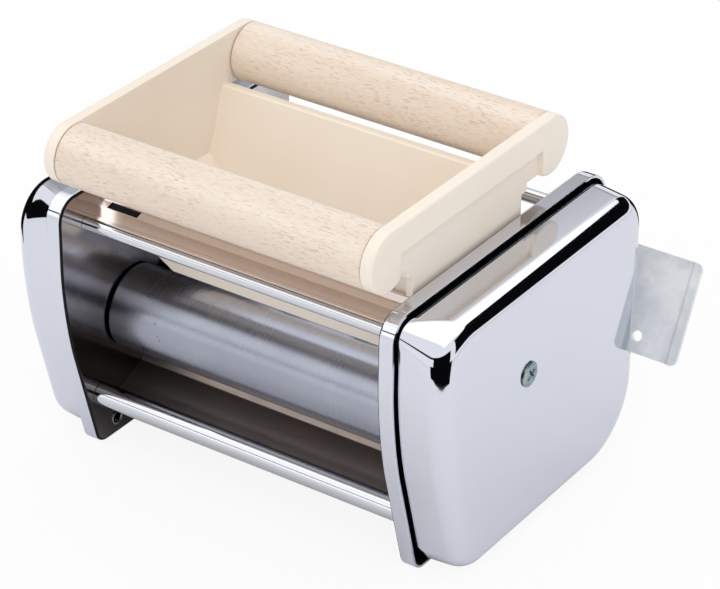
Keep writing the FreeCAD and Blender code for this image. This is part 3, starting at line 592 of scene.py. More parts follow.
@dataclass(frozen=True)
class ZincPlate(Finish):
    """Dull zinc on a stamped bracket: mottled, with pale and dark clouds."""

    pale: Colour = ink(248, 250, 252)
    dark: Colour = ink(226, 231, 235)
    roughness: float = 0.38

    def material(self) -> bpy.types.Material:
        """Build the material.

        Returns:
            Pale metal, mottled in tone and gloss.
        """
        recipe = Recipe(self.name)
        cloud = recipe.noise(70.0, 5.0, rough=0.62)
        mottle = (cloud.step(0.36, 0.66) * 0.75 + recipe.flakes(330.0) * 0.25).clip()
        scuff = recipe.noise(1.0, 3.0, recipe.stretched((60.0, 700.0, 60.0), (0.5, 0.2, 0.4)))
        tint = recipe.mixed(mottle, self.dark, self.pale)
        rough = mottle * 0.14 + (scuff - 0.5) * 0.2 + self.roughness
        return recipe.finish(
            Base_Color=tint,
            Metallic=0.22,
            Roughness=rough.clip(),
            Normal=recipe.bump(mottle * 0.6 + scuff * 0.4, 6.0e-6),
        )


@dataclass(frozen=True)
class BlueZinc(Finish):
    """Thin bluish zinc on a machine screw."""

    colour: Colour = ink(134, 153, 163)
    roughness: float = 0.2

    def material(self) -> bpy.types.Material:
        """Build the material.

        Returns:
            Bluish metal with pale blooms.
        """
        recipe = Recipe(self.name)
        film = recipe.noise(520.0, 3.0)
        bloom = recipe.noise(190.0, 1.0).step(0.4, 0.7)
        tint = recipe.mixed(bloom * 0.5, self.colour, ink(206, 208, 196))
        rough = film * 0.14 + self.roughness
        return recipe.finish(
            Base_Color=tint, Metallic=1.0, Roughness=rough, Normal=recipe.bump(film, 4.0e-6)
        )


@dataclass(frozen=True)
class BearingBrass(Finish):
    """Sintered brass of the bushes: warm, porous, oil-dark in places."""

    colour: Colour = ink(190, 158, 98)
    roughness: float = 0.34

    def material(self) -> bpy.types.Material:
        """Build the material.

        Returns:
            Porous brass.
        """
        recipe = Recipe(self.name)
        pores = recipe.cells(1500.0).step(0.22, 0.08)
        oil = recipe.noise(140.0, 3.0).step(0.42, 0.7)
        tint = recipe.mixed(oil * 0.5 + pores * 0.3, self.colour, ink(104, 80, 46))
        rough = pores * 0.2 + self.roughness - oil * 0.1
        return recipe.finish(
            Base_Color=tint, Metallic=1.0, Roughness=rough, Normal=recipe.bump(1 - pores, 8.0e-6)
        )


@dataclass(frozen=True)
class CreamPlastic(Finish):
    """Warm cream moulding: half gloss, a faint texture, paler where it thins."""

    colour: Colour = ink(249, 239, 226)
    deep: Colour = ink(247, 233, 216)
    roughness: float = 0.34

    def material(self) -> bpy.types.Material:
        """Build the material.

        Returns:
            Cream plastic under a thin gloss.
        """
        recipe = Recipe(self.name)
        cloud = recipe.noise(22.0, 2.0)
        grain = recipe.noise(2400.0, 2.0)
        flow = recipe.noise(1.0, 2.0, recipe.stretched((14.0, 60.0, 60.0)))
        tint = recipe.mixed(cloud.step(0.3, 0.7) * 0.5 + flow * 0.15, self.colour, self.deep)
        rough = grain * 0.08 + (flow - 0.5) * 0.06 + self.roughness
        bent = recipe.bump(grain * 0.35 + flow * 0.65, 9.0e-6)
        return recipe.finish(
            Base_Color=tint,
            Roughness=rough,
            Normal=bent,
            IOR=1.48,
            Coat_Weight=0.06,
            Coat_Roughness=0.12,
        )


@dataclass(frozen=True)
class SteamedBeech(Finish):
    """Turned beech: pale growth bands, short dark pores and ray flecks along X."""

    pale: Colour = ink(246, 234, 220)
    warm: Colour = ink(228, 207, 187)
    fleck: Colour = ink(190, 158, 134)
    shift: float = 0.0
    roughness: float = 0.5

    def material(self) -> bpy.types.Material:
        """Build the material.

        Returns:
            Wood whose grain runs along X.
        """
        recipe = Recipe(self.name)
        sway = recipe.noise(1.0, 2.0, recipe.stretched((9.0, 38.0, 38.0), shift=self.shift))
        bands = {
            "Vector": recipe.stretched((6.0, 120.0, 90.0), (0.5, 0.0, 0.0), self.shift),
            "Scale": 0.32,
            "Distortion": 5.0,
            "Detail": 2.0,
            "Detail Scale": 0.8,
        }
        kind = {"wave_type": "BANDS", "bands_direction": "DIAGONAL"}
        rings = Signal(recipe, recipe.node("ShaderNodeTexWave", kind, bands).outputs["Fac"])
        fibre = recipe.noise(1.0, 3.0, recipe.stretched((60.0, 1900.0, 1900.0), shift=self.shift))
        pores = recipe.noise(1.0, 2.0, recipe.stretched((330.0, 2600.0, 2600.0), shift=self.shift))
        dashes = pores.step(0.54, 0.66)
        blotch = recipe.noise(60.0, 2.0).step(0.35, 0.7)
        tone = (rings * 0.5 + sway * 0.5 + (fibre - 0.5) * 0.5).clip()
        wood = recipe.mixed(tone * 0.8, self.pale, self.warm)
        aged = recipe.mixed(dashes * (blotch * 0.35 + 0.28), wood, self.fleck)
        rough = (fibre - 0.5) * 0.2 + dashes * 0.12 + self.roughness
        bent = recipe.bump(fibre * 0.5 - dashes * 0.8, 3.0e-5, 0.7)
        return recipe.finish(Base_Color=aged, Roughness=rough.clip(), Normal=bent, IOR=1.45)


@dataclass(frozen=True)
class PaleFloor(Finish):
    """White paper under the object: white to the eye, still taking a shadow."""

    name: str = "pale_floor"
    paper: Colour = (0.93, 0.93, 0.94)
    camera_glow: float = 0.9
    mirror_glow: float = 0.0

    def material(self) -> bpy.types.Material:
        """Build the material.

        Returns:
            Diffuse paper, blended with a glow for the rays that look at it.
        """
        recipe = Recipe(self.name)
        share = recipe.seen_by(self.camera_glow, self.mirror_glow, self.mirror_glow)
        paper = recipe.node("ShaderNodeBsdfDiffuse", None, {"Color": (*self.paper, 1.0)})
        white = recipe.node("ShaderNodeEmission", None, {"Color": WHITE})
        ends = {0: share, 1: paper.outputs[0], 2: white.outputs[0]}
        both = recipe.node("ShaderNodeMixShader", None, ends)
        recipe.node("ShaderNodeOutputMaterial", None, {"Surface": both.outputs[0]})
        return recipe.material


@dataclass(frozen=True)
class FadedCard(Finish):
    """Card that fades from grey at its foot to the white of the studio."""

    name: str = "faded_card"
    low: float = 0.62
    high: float = 1.22
    dark: float = 0.3
    bright: float = 1.22

    def material(self) -> bpy.types.Material:
        """Build the material.

        Returns:
            Glow that grows with height.
        """
        recipe = Recipe(self.name)
        rise = recipe.height().step(self.low, self.high)
        tone = recipe.mixed(rise, (self.dark,) * 3, (self.bright,) * 3)
        glow = recipe.node("ShaderNodeEmission", None, {"Color": tone, "Strength": 1.0})
        recipe.node("ShaderNodeOutputMaterial", None, {"Surface": glow.outputs[0]})
        return recipe.material


@dataclass(frozen=True)
class BlackFlock(Finish):
    """Matt black of the studio's dark cards."""

    name: str = "black_flock"
    colour: Colour = (0.004, 0.004, 0.005)

    def material(self) -> bpy.types.Material:
        """Build the material."""
        return Recipe(self.name).finish(
            Base_Color=self.colour, Roughness=1.0, Specular_IOR_Level=0.0
        )


# ---- the bench: meshes in millimetres, pieces in the frame ----


def place_new(name: str, data: bpy.types.ID) -> bpy.types.Object:
    """Put a new object into the scene.

    Args:
        name: Its name.
        data: Its mesh, light or camera.

    Returns:
        The object.
    """
    thing = bpy.data.objects.new(name, data)
    bpy.context.scene.collection.objects.link(thing)
    return thing


def new_mesh(name: str, bm: BMesh) -> bpy.types.Mesh:
    """Turn a mesh on the bench, used up here, into mesh data.

    Args:
        name: Name of the data.
        bm: The mesh.

    Returns:
        The data.
    """
    mesh = bpy.data.meshes.new(name)
    bm.to_mesh(mesh)
    bm.free()
    return mesh


def add_mesh(bm: BMesh, other: BMesh) -> None:
    """Add one mesh to another.

    Args:
        bm: Mesh that grows.
        other: Mesh that goes into it, used up here.
    """
    spare = new_mesh("bench_part", other)
    bm.from_mesh(spare)
    bpy.data.meshes.remove(spare)


def to_side(bm: BMesh, side: Side) -> None:
    """Take a mesh made for the right end to its side."""
    bmesh.ops.scale(bm, vec=(side.value, 1.0, 1.0), verts=bm.verts)


def join_twin(bm: BMesh) -> None:
    """Add the mirror image of a mesh at the other end of the object.

    Args:
        bm: The mesh, made for the right end.
    """
    twin = bm.copy()
    to_side(twin, Side.LEFT)
    add_mesh(bm, twin)


def carve(bm: BMesh, cutter: BMesh) -> None:
    """Cut one closed mesh out of another, in place; the cutter is used up.

    Args:
        bm: Mesh that loses material.
        cutter: Closed mesh of the material to take away.
    """
    pair = []
    for name, source in (("bench_blank", bm), ("bench_tool", cutter)):
        mesh = bpy.data.meshes.new(name)
        bmesh.ops.recalc_face_normals(source, faces=source.faces)
        source.to_mesh(mesh)
        pair.append(place_new(name, mesh))
    blank, tool = pair
    cut = blank.modifiers.new("cut", "BOOLEAN")
    cut.object = tool
    cut.operation = "DIFFERENCE"
    cut.solver = "EXACT"
    bpy.context.view_layer.update()
    graph = bpy.context.evaluated_depsgraph_get()
    result = bpy.data.meshes.new_from_object(blank.evaluated_get(graph))
    bm.clear()
    bm.from_mesh(result)
    cutter.free()
    for thing in pair:
        mesh = thing.data
        bpy.data.objects.remove(thing)
        bpy.data.meshes.remove(mesh)
    bpy.data.meshes.remove(result)


def lathe(profile: Sequence[Point], y: float, z: float, steps: int) -> BMesh:
    """Spin a closed profile round a line along X.

    Args:
        profile: Corners of the section as (x, radius).
        y: Y of the axis.
        z: Z of the axis.
        steps: Facets round the turn.

    Returns:
        The turned solid.
    """
    bm = bmesh.new()
    verts = [bm.verts.new((x, y, z + radius)) for x, radius in profile]
    edges = [bm.edges.new((vert, verts[i - 1])) for i, vert in enumerate(verts)]
    bmesh.ops.spin(
        bm,
        geom=verts + edges,
        cent=(0.0, y, z),
        axis=(1.0, 0.0, 0.0),
        angle=2.0 * math.pi,
        steps=steps,
        use_merge=True,
    )
    bmesh.ops.remove_doubles(bm, verts=bm.verts, dist=SAME_SPOT)
    return bm


def rod(low: float, high: float, radius: float, y: float, z: float, steps: int) -> BMesh:
    """Turn a plain rod along X.

    Args:
        low: X of one end.
        high: X of the other end.
        radius: Its radius.
        y: Y of the axis.
        z: Z of the axis.
        steps: Facets round the turn.

    Returns:
        The rod.
    """
    profile = [(low, 0.0), (low, radius), (high, radius), (high, 0.0)]
    return lathe(profile, y, z, steps)


def round_over(bm: BMesh, edges: Iterable[BMEdge], width: float, segments: int) -> None:
    """Round a set of edges.

    Args:
        bm: Mesh that the edges belong to.
        edges: The edges.
        width: Setback of the round.
        segments: Facets across it.
    """
    bmesh.ops.bevel(
        bm,
        geom=list(edges),
        offset=width,
        offset_type="OFFSET",
        segments=segments,
        profile=0.5,
        affect="EDGES",
        clamp_overlap=False,
        material=-1,
    )


def hoop(bm: BMesh, x: float, y: float, z: float, radius: float) -> list[BMEdge]:
    """Find the edges of one circle in the plane X = x.

    Args:
        bm: Mesh to search.
        x: Plane of the circle.
        y: Y of its centre.
        z: Z of its centre.
        radius: Its radius.

    Returns:
        The circle's edges.
    """

    def on(vert: BMVert) -> bool:
        """Tell whether a vertex lies on the circle."""
        reach = math.hypot(vert.co.y - y, vert.co.z - z)
        return abs(vert.co.x - x) < PLANE_SLACK and abs(reach - radius) < RADIUS_SLACK

    return [edge for edge in bm.edges if on(edge.verts[0]) and on(edge.verts[1])]


def rounded_face(
    bm: BMesh,
    x: float,
    corners: Sequence[Point],
    radii: Sequence[float],
    inset: float,
    segments: int,
) -> BMFace:
    """Lay out a polygon with rounded corners in the plane X = x.

    Args:
        bm: Mesh to draw in.
        x: Plane of the outline.
        corners: Sharp corners as (y, z).
        radii: Radius at each corner.
        inset: How far the outline is drawn in before it is rounded.
        segments: Facets round each corner.

    Returns:
        The outline's face.
    """
    verts = [bm.verts.new((x, y, z)) for y, z in corners]
    face = bm.faces.new(verts)
    bm.normal_update()
    if inset > 0.0:
        ring = bmesh.ops.inset_region(
            bm, faces=[face], thickness=inset, use_boundary=True, use_even_offset=True
        )
        bmesh.ops.delete(bm, geom=ring["faces"], context="FACES")
        face = bm.faces[:][0]
        centres = [Vector((x, y, z)) for y, z in corners]
        verts = [min(face.verts, key=lambda v: (v.co - centre).length) for centre in centres]
    for vert, radius in zip(verts, radii):
        arms = [edge.other_vert(vert).co - vert.co for edge in vert.link_edges]
        setback = radius / math.tan(arms[0].angle(arms[1]) / 2.0)
        bmesh.ops.bevel(
            bm,
            geom=[vert],
            offset=setback,
            offset_type="OFFSET",
            segments=segments,
            profile=0.5,
            affect="VERTICES",
            material=-1,
        )
    return bm.faces[:][0]


@dataclass(frozen=True)
class Ring:
    """One outline of a pressing, in a plane across X."""

    x: float
    corners: tuple[Point, ...]
    radii: tuple[float, ...]
    inset: float = 0.0
    segments: int = SHELL_FACETS

    def lining(self, wall: float, x: float) -> "Ring":
        """Outline of the pressing's inside.

        Args:
            wall: Thickness of the sheet.
            x: Plane of the new outline.

        Returns:
            The outline, drawn in by the thickness.
        """
        radii = tuple(max(radius - wall, LEAST_CORNER) for radius in self.radii)
        return Ring(x, self.corners, radii, self.inset + wall, self.segments)

    def draw(self, bm: BMesh) -> None:
        """Add the outline's face to a mesh.

        Args:
            bm: The mesh.
        """
        alone = bmesh.new()
        rounded_face(alone, self.x, self.corners, self.radii, self.inset, self.segments)
        add_mesh(bm, alone)

    def holds(self, part: BMEdge | BMFace) -> bool:
        """Tell whether an edge or a face lies in the outline's plane."""
        return all(abs(vert.co.x - self.x) < SAME_SPOT for vert in part.verts)


def draw_shell(rings: Sequence[Ring], bend: float, across: int) -> BMesh:
    """Join outlines into an open tray with a rounded bottom.

    Args:
        rings: Outlines from the mouth to the bottom.
        bend: Radius between side and bottom.
        across: Facets across the bend.

    Returns:
        The open tray.
    """
    bm = bmesh.new()
    for ring in rings:
        ring.draw(bm)
    spare = [face for face in bm.faces if not rings[-1].holds(face)]
    bmesh.ops.delete(bm, geom=spare, context="FACES_ONLY")
    for pair in zip(rings, rings[1:]):
        edges = [edge for edge in bm.edges if any(ring.holds(edge) for ring in pair)]
        bmesh.ops.bridge_loops(bm, edges=edges)
    bmesh.ops.recalc_face_normals(bm, faces=bm.faces)
    bottom = next(face for face in bm.faces if rings[-1].holds(face))
    round_over(bm, bottom.edges, bend, across)
    return bm


def press_shell(rings: Sequence[Ring], wall: float, bend: float, across: int) -> BMesh:
    """Draw outlines along X into a tray of even thickness.

    Args:
        rings: Outer outlines from the mouth to the bottom.
        wall: Thickness of the sheet.
        bend: Outer radius between side and bottom.
        across: Facets across the bend.

    Returns:
        The tray.
    """
    bm = bmesh.new()
    ahead = math.copysign(wall, rings[-1].x - rings[0].x)
    inside = [ring.lining(wall, ring.x) for ring in rings[:-1]]
    inside.append(rings[-1].lining(wall, rings[-1].x - ahead))
    add_mesh(bm, draw_shell(rings, bend, across))
    add_mesh(bm, draw_shell(inside, max(bend - wall, LEAST_BEND), max(across // 2, 4)))
    mouth = [edge for edge in bm.edges if rings[0].holds(edge) and len(edge.link_faces) == 1]
    bmesh.ops.bridge_loops(bm, edges=mouth)
    bmesh.ops.recalc_face_normals(bm, faces=bm.faces)
    return bm


def fold(points: Sequence[Point], radii: Sequence[float], half: float, wall: float) -> BMesh:
    """Fold a strip of sheet that runs along X.

    Args:
        points: Upper face of the strip as (y, z), sharp bends.
        radii: Radius of each bend between two runs.
        half: Half of its length.
        wall: Thickness, given downwards.

    Returns:
        The folded sheet.
    """
    bm = bmesh.new()
    verts = [bm.verts.new((-half, y, z)) for y, z in points]
    edges = [bm.edges.new(pair) for pair in zip(verts, verts[1:])]
    made = bmesh.ops.extrude_edge_only(bm, edges=edges)["geom"]
    moved = [item for item in made if isinstance(item, BMVert)]
    bmesh.ops.translate(bm, verts=moved, vec=(2.0 * half, 0.0, 0.0))
    for (y, z), radius in zip(points[1:-1], radii):
        crease = [
            edge
            for edge in bm.edges
            if all(math.hypot(v.co.y - y, v.co.z - z) < SAME_SPOT for v in edge.verts)
        ]
        sides = [face.normal for face in crease[0].link_faces]
        bm.normal_update()
        turn = sides[0].angle(sides[1])
        round_over(bm, crease, radius * math.tan(turn / 2.0), BEND_FACETS)
    bmesh.ops.recalc_face_normals(bm, faces=bm.faces)
    bm.normal_update()
    if sum(face.normal.z * face.calc_area() for face in bm.faces) < 0.0:
        bmesh.ops.reverse_faces(bm, faces=bm.faces)
    bmesh.ops.solidify(bm, geom=bm.faces[:], thickness=wall)
    bmesh.ops.recalc_face_normals(bm, faces=bm.faces)
    return bm


def block(low: Sequence[float], high: Sequence[float]) -> BMesh:
    """Box between two corners, to be shaped further.

    Args:
        low: Lowest corner.
        high: Highest corner.

    Returns:
        The box.
    """
    bm = bmesh.new()
    size = [b - a for a, b in zip(low, high)]
    middle = [(a + b) / 2.0 for a, b in zip(low, high)]
    place = Matrix.Translation(middle) @ Matrix.Diagonal((*size, 1.0))
    bmesh.ops.create_cube(bm, size=1.0, matrix=place)
    return bm


class Bench:
    """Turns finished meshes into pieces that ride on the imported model."""

    def __init__(self, frame: dict[str, Any]) -> None:
        """Find the nip plane between the two pressure rollers.

        Args:
            frame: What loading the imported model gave.
        """
        self.nodes = frame["nodes"]
        ends = [sum(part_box(name), Vector()) / 2.0 for name in ("front_roller", "rear_roller")]
        self.nip = (ends[0].y + ends[1].y) / 2.0
        self.place = Matrix.Translation((0.0, self.nip, 0.0)) @ Matrix.Scale(MILLIMETRE, 4)
        self.finishes: dict[str, bpy.types.Material] = {}

    def material(self, finish: Finish) -> bpy.types.Material:
        """Build a finish once and hand out the same material after that.

        Args:
            finish: The finish.

        Returns:
            Its material.
        """
        if finish.name not in self.finishes:
            self.finishes[finish.name] = finish.material()
        return self.finishes[finish.name]

    def mount(
        self,
        bm: BMesh,
        name: str,
        finish: Finish,
        body: Body,
        stands_for: Sequence[str] = (),
        ease: float = 0.0,
        linings: Sequence[Finish] = (),
    ) -> bpy.types.Object:
        """Make a piece of a mesh in millimetres and fit it to its body.

        Args:
            bm: The mesh, used up here.
            name: Name of the piece.
            finish: Its finish.
            body: Body that it moves with.
            stands_for: Nodes that it replaces.
            ease: Width of the round on every sharp edge, in millimetres.
            linings: Finishes of the faces numbered 1, 2 and so on.

        Returns:
            The piece.
        """
        bmesh.ops.remove_doubles(bm, verts=bm.verts, dist=SAME_SPOT)
        bmesh.ops.recalc_face_normals(bm, faces=bm.faces)
        mesh = new_mesh(name, bm)
        mesh.transform(self.place)
        coats = (finish, *linings)
        return self._fit(mesh, name, coats, body, stands_for, ease)

    def cast(
        self,
        node: str,
        finish: Finish,
        body: Body,
        ease: float = 0.0,
        angle: float = 30.0,
        segments: int = 2,
        cutters: Sequence[BMesh] = (),
    ) -> bpy.types.Object:
        """Copy a node's mesh, join its loose triangles and ease its edges.

        Args:
            node: Name of the node.
            finish: Finish of the piece.
            body: Body that it moves with.
            ease: Width of the round on every sharp edge, in millimetres.
            angle: Smallest bend in degrees that counts as a sharp edge.
            segments: Facets across each round.
            cutters: Closed meshes in millimetres of the material to take away.

        Returns:
            The piece, named after the node.
        """
        bm = bmesh.new()
        bm.from_mesh(self.nodes[node].data)
        bmesh.ops.remove_doubles(bm, verts=bm.verts, dist=SEAM)
        for cutter in cutters:
            bmesh.ops.transform(cutter, matrix=self.place, verts=cutter.verts)
            carve(bm, cutter)
        flat = math.radians(FLAT_ANGLE)
        bmesh.ops.dissolve_limit(bm, angle_limit=flat, verts=bm.verts, edges=bm.edges)
        bmesh.ops.connect_verts_concave(bm, faces=bm.faces)
        name = node + "_dressed"
        mesh = new_mesh(name, bm)
        return self._fit(mesh, name, (finish,), body, (node,), ease, angle, segments)

    def _fit(
        self,
        mesh: bpy.types.Mesh,
        name: str,
        coats: Sequence[Finish],
        body: Body,
        stands_for: Sequence[str],
        ease: float,
        angle: float = SHARP_ANGLE,
        segments: int = 2,
    ) -> bpy.types.Object:
        """Give a mesh its object, finish, last modifiers and body.

        Args:
            mesh: The mesh in the frame's metres.
            name: Name of the piece.
            coats: Its finish, and those of its numbered faces.
            body: Body that it moves with.
            stands_for: Nodes that it replaces.
            ease: Width of the round on every sharp edge, in millimetres.
            angle: Smallest bend in degrees that counts as a sharp edge.
            segments: Facets across each round.

        Returns:
            The piece.
        """
        for coat in coats:
            mesh.materials.append(self.material(coat))
        mesh.shade_smooth()
        piece = place_new(name, mesh)
        if ease > 0.0:
            softened = piece.modifiers.new("ease", "BEVEL")
            softened.width = ease * MILLIMETRE
            softened.segments = segments
            softened.limit_method = "ANGLE"
            softened.angle_limit = math.radians(angle)
            softened.use_clamp_overlap = True
            softened.miter_outer = "MITER_ARC"
        crisp = EASED_SHARP_ANGLE if ease > 0.0 else SHARP_ANGLE
        mesh.set_sharp_from_angle(angle=math.radians(crisp))
        flat = piece.modifiers.new("flat", "WEIGHTED_NORMAL")
        flat.keep_sharp = True
        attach(piece, body.value)
        if stands_for:
            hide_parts(*stands_for)
        LOG.info("%s: %d faces, stands for %s", name, len(mesh.polygons), ", ".join(stands_for))
        return piece

    def coat(self, finish: Finish, *names: str) -> None:
        """Give nodes that stay as they are a better finish.

        Args:
            finish: The finish.
            names: Names of the nodes.
        """
        for name in names:
            coats = self.nodes[name].data.materials
            coats.clear()
            coats.append(self.material(finish))
            LOG.info("%s: kept, in %s", name, finish.name)


# ---- sub-assemblies ----


@dataclass
class PressedSides:
    """Side plates and the deep-drawn covers that stand on them."""

    corners: tuple[Point, ...] = (
        (-55.1, 107.0),
        (81.4, 107.0),
        (81.4, 0.0),
        (-37.8, 0.0),
        (-55.1, 61.6),
    )
    plate_radii: tuple[float, ...] = (8.7, 13.4, 31.0, 6.0, 147.0)
    cover_radii: tuple[float, ...] = (17.0, 13.5, 28.0, 14.0, 147.0)
    plate_x: float = 65.9
    plate_wall: float = 1.0
    rim_depth: float = 6.1
    rim_bend: float = 1.1
    cover_depth: float = 23.6
    cover_wall: float = 0.8
    cover_bend: float = 7.0
    cover_gap: float = 2.3
    foot_gap: float = 1.3
    crank_hole: tuple[float, float, float] = (-16.0, 49.4, 9.5)
    crank_hole_edge: float = 0.5
    eyelet_hole: tuple[float, float, float] = (-27.5, 6.6, 2.6)
    mouth_radii: tuple[float, ...] = (7.0, 11.5, 28.0, 14.0, 147.0)
    cover_crown: float = 1.1
    cover_steps: tuple[float, ...] = (0.0, 0.12, 0.24, 0.36, 0.48, 0.58, 0.67, 1.0)
    middle: Point = (13.0, 53.0)
    rim_facets: int = 8
    cover_facets: int = 44
    bend_facets: int = 28
    eyelet_facets: int = 40
    crank_facets: int = 96
    edge_facets: int = 4
    hole_reach: float = 3.0  # how far a hole's cutter stands out of the sheet
    turned_in: float = 0.35  # share of a normal along X that makes a face look inward
    square_in: float = 0.97  # the same for the flat middle of a plate
    upright: float = 0.9  # the same from which a face is no side of a pressing
    outward: float = 0.3  # the same from which it may belong to the floor
    floor_reach: float = 2.0  # how far from the floor it may then be
    ease: float = 0.15
    plate_finish: ChromePlate = ChromePlate("plate_chrome")
    cover_finish: ChromePlate = ChromePlate("cover_chrome", wave=2.2e-5)
    # Painted shade: the near-black finish for the pressings' insides, and the satin sheet darkened
    # towards the foot.
    tray_painted_shade: PaintedShadeBlack = PaintedShadeBlack("pressing_painted_shade")
    inner_satin_and_shade: SatinSheet = SatinSheet("plate_satin")

    def cover_corners(self) -> list[Point]:
        """Let the foot of the cover's outline down towards the plate's.

        Returns:
            The corners, from the front top round the rear to the front foot.
        """
        drop = self.cover_gap - self.foot_gap
        slant = (self.corners[3][0] - self.corners[4][0]) / self.corners[4][1]
        low = list(self.corners)
        low[2] = (self.corners[2][0], -drop)
        low[3] = (self.corners[3][0] + slant * drop, -drop)
        return low

    def cover_ring(self, mouth: float, share: float) -> Ring:
        """Outline of the cover part way from its mouth to its face.

        Args:
            mouth: X of the mouth.
            share: How far along, 0 to 1.

        Returns:
            The outline: crowned, and rounder at the corners further out.
        """
        pairs = zip(self.mouth_radii, self.cover_radii)
        eased = share * share * (3.0 - 2.0 * share)
        radii = tuple(near + (far - near) * eased for near, far in pairs)
        inset = self.cover_gap + self.cover_crown * share * share
        x = mouth + self.cover_depth * share
        return Ring(x, tuple(self.cover_corners()), radii, inset, self.cover_facets)

    def hole(self, x: float, place: tuple[float, float, float], steps: int) -> BMesh:
        """Cutter for a round hole through the sheet.

        Args:
            x: X of the sheet.
            place: Y and Z of the hole, and its radius.
            steps: Facets round it.

        Returns:
            The cutter.
        """
        y, z, radius = place
        return rod(x - self.hole_reach, x + self.hole_reach, radius, y, z, steps)

    def plate(self, bench: Bench, side: Side) -> None:
        """Press one side plate: a shallow tray with a bent rim.

        Args:
            bench: Where pieces are fitted.
            side: Which end.
        """
        lip = self.plate_x + self.rim_depth
        rings = [Ring(x, self.corners, self.plate_radii) for x in (lip, self.plate_x)]
        bm = press_shell(rings, self.plate_wall, self.rim_bend, self.rim_facets)
        carve(bm, self.hole(self.plate_x, self.eyelet_hole, self.eyelet_facets))
        # Near-black painted shade inside the tray and on the bend of its inward face, a dark line;
        # the flat middle of that face takes the satin sheet with its painted shade.
        self.line(bm, self.plate_x + self.plate_wall, lip)
        for face in bm.faces:
            inmost = face.calc_center_median().x < self.plate_x + self.rim_bend
            if inmost and face.normal.x < -self.turned_in:
                face.material_index = 2 if face.normal.x < -self.square_in else 1
        self._mount(bench, bm, side, "plate_shell", self.plate_finish, "side_plate")

    def cover(self, bench: Bench, side: Side) -> None:
        """Draw one end cover; the left one has the crank's opening.

        Args:
            bench: Where pieces are fitted.
            side: Which end.
        """
        mouth = self.plate_x + self.plate_wall
        rings = [self.cover_ring(mouth, share) for share in self.cover_steps]
        bm = press_shell(rings, self.cover_wall, self.cover_bend, self.bend_facets)
        top = mouth + self.cover_depth
        if side is Side.LEFT:
            carve(bm, self.hole(top, self.crank_hole, self.crank_facets))
            rim = hoop(bm, top, *self.crank_hole)
            round_over(bm, rim, self.crank_hole_edge, self.edge_facets)
        # The cover's inside takes the near-black painted shade.
        self.line(bm, top - self.cover_wall, mouth)
        self._mount(bench, bm, side, "cover_shell", self.cover_finish, "end_cover")

    def line(self, bm: BMesh, floor: float, mouth: float) -> None:
        """Number the inside faces of a pressing, which take the dull, near-black painted shade.

        Args:
            bm: The pressing, made for the right side.
            floor: X of its inner floor.
            mouth: X of its mouth.
        """
        bm.normal_update()
        ahead = math.copysign(1.0, mouth - floor)
        for face in bm.faces:
            spot = face.calc_center_median()
            away = Vector((0.0, spot.y - self.middle[0], spot.z - self.middle[1]))
            facing_in = abs(face.normal.x) < self.upright and face.normal.dot(away) < 0.0
            depth = (spot.x - floor) * ahead
            on_floor = face.normal.x * ahead > self.outward and depth < self.floor_reach
            if facing_in or on_floor:
                face.material_index = 1

    def _mount(
        self, bench: Bench, bm: BMesh, side: Side, name: str, finish: Finish, node: str
    ) -> None:
        """Fit a pressing at its side of the frame.

        Args:
            bench: Where pieces are fitted.
            bm: The pressing, made for the right side.
            side: Which end it goes to.
            name: Name of the piece, without its side.
            finish: Its finish.
            node: Node that it stands for, without its side.
        """
        to_side(bm, side)
        bench.mount(
            bm,
            f"{side.word}_{name}",
            finish,
            Body.FRAME,
            (f"{side.word}_{node}",),
            ease=self.ease,
            linings=(self.tray_painted_shade, self.inner_satin_and_shade),
        )

    def build(self, bench: Bench) -> None:
        """Make both plates and both covers.

        Args:
            bench: Where pieces are fitted.
        """
        for side in Side:
            self.plate(bench, side)
            self.cover(bench, side)


@dataclass
class CrossScrews:
    """The two cover screws: low pan heads with a tapered cross recess."""

    y: float = 0.8
    z: float = 67.0
    face_x: float = 90.5
    head: float = 1.05
    radius: float = 4.7
    shank: float = 2.5
    length: float = 11.0
    base: float = 0.55
    arm: float = 3.6
    arm_width: float = 0.95
    depth: float = 1.15
    taper: Point = (0.42, 0.45)  # length and width of an arm's floor, as shares
    turn: float = 0.62  # how far the cross is turned, in radians
    facets: int = 72
    edge_low: tuple[Point, ...] = ((0.2, 0.1), (0.45, 0.0))  # height, inset
    edge_high: tuple[Point, ...] = ((0.45, 0.15), (0.2, 0.5), (0.05, 1.1), (0.0, 2.2))
    ease: float = 0.06
    finish: BlueZinc = BlueZinc("screw_zinc")

    def wing(self, turn: float) -> BMesh:
        """Cutter for one slot of the cross.

        Args:
            turn: Rotation about the screw's axis, in radians.

        Returns:
            The wedge, wide at the face and narrow at its floor.
        """
        top = self.face_x + self.head
        tool = block(
            (top - self.depth, -self.arm, -self.arm_width),
            (top + self.head, self.arm, self.arm_width),
        )
        floor = [v for v in tool.verts if v.co.x < top]
        bmesh.ops.scale(tool, vec=(1.0, *self.taper), verts=floor)
        rotation = Matrix.Rotation(turn, 3, "X")
        bmesh.ops.rotate(tool, verts=tool.verts, cent=(0.0, 0.0, 0.0), matrix=rotation)
        bmesh.ops.translate(tool, verts=tool.verts, vec=(0.0, self.y, self.z))
        return tool

    def build(self, bench: Bench) -> None:
        """Turn, recess and place both screws in one piece.

        Args:
            bench: Where pieces are fitted.
        """
        x = self.face_x
        top = x + self.head
        profile = [
            (x - self.length, 0.0),
            (x - self.length, self.shank),
            (x, self.shank),
            (x, self.radius - self.base),
            *((x + up, self.radius - inset) for up, inset in self.edge_low),
            *((top - down, self.radius - inset) for down, inset in self.edge_high),
            (top, 0.0),
        ]
        bm = lathe(profile, self.y, self.z, self.facets)
        for turn in (self.turn, self.turn + math.pi / 2.0):
            carve(bm, self.wing(turn))
        join_twin(bm)
        bench.mount(
            bm,
            "cover_screw_pair",
            self.finish,
            Body.FRAME,
            ("cover_screws",),
            ease=self.ease,
        )


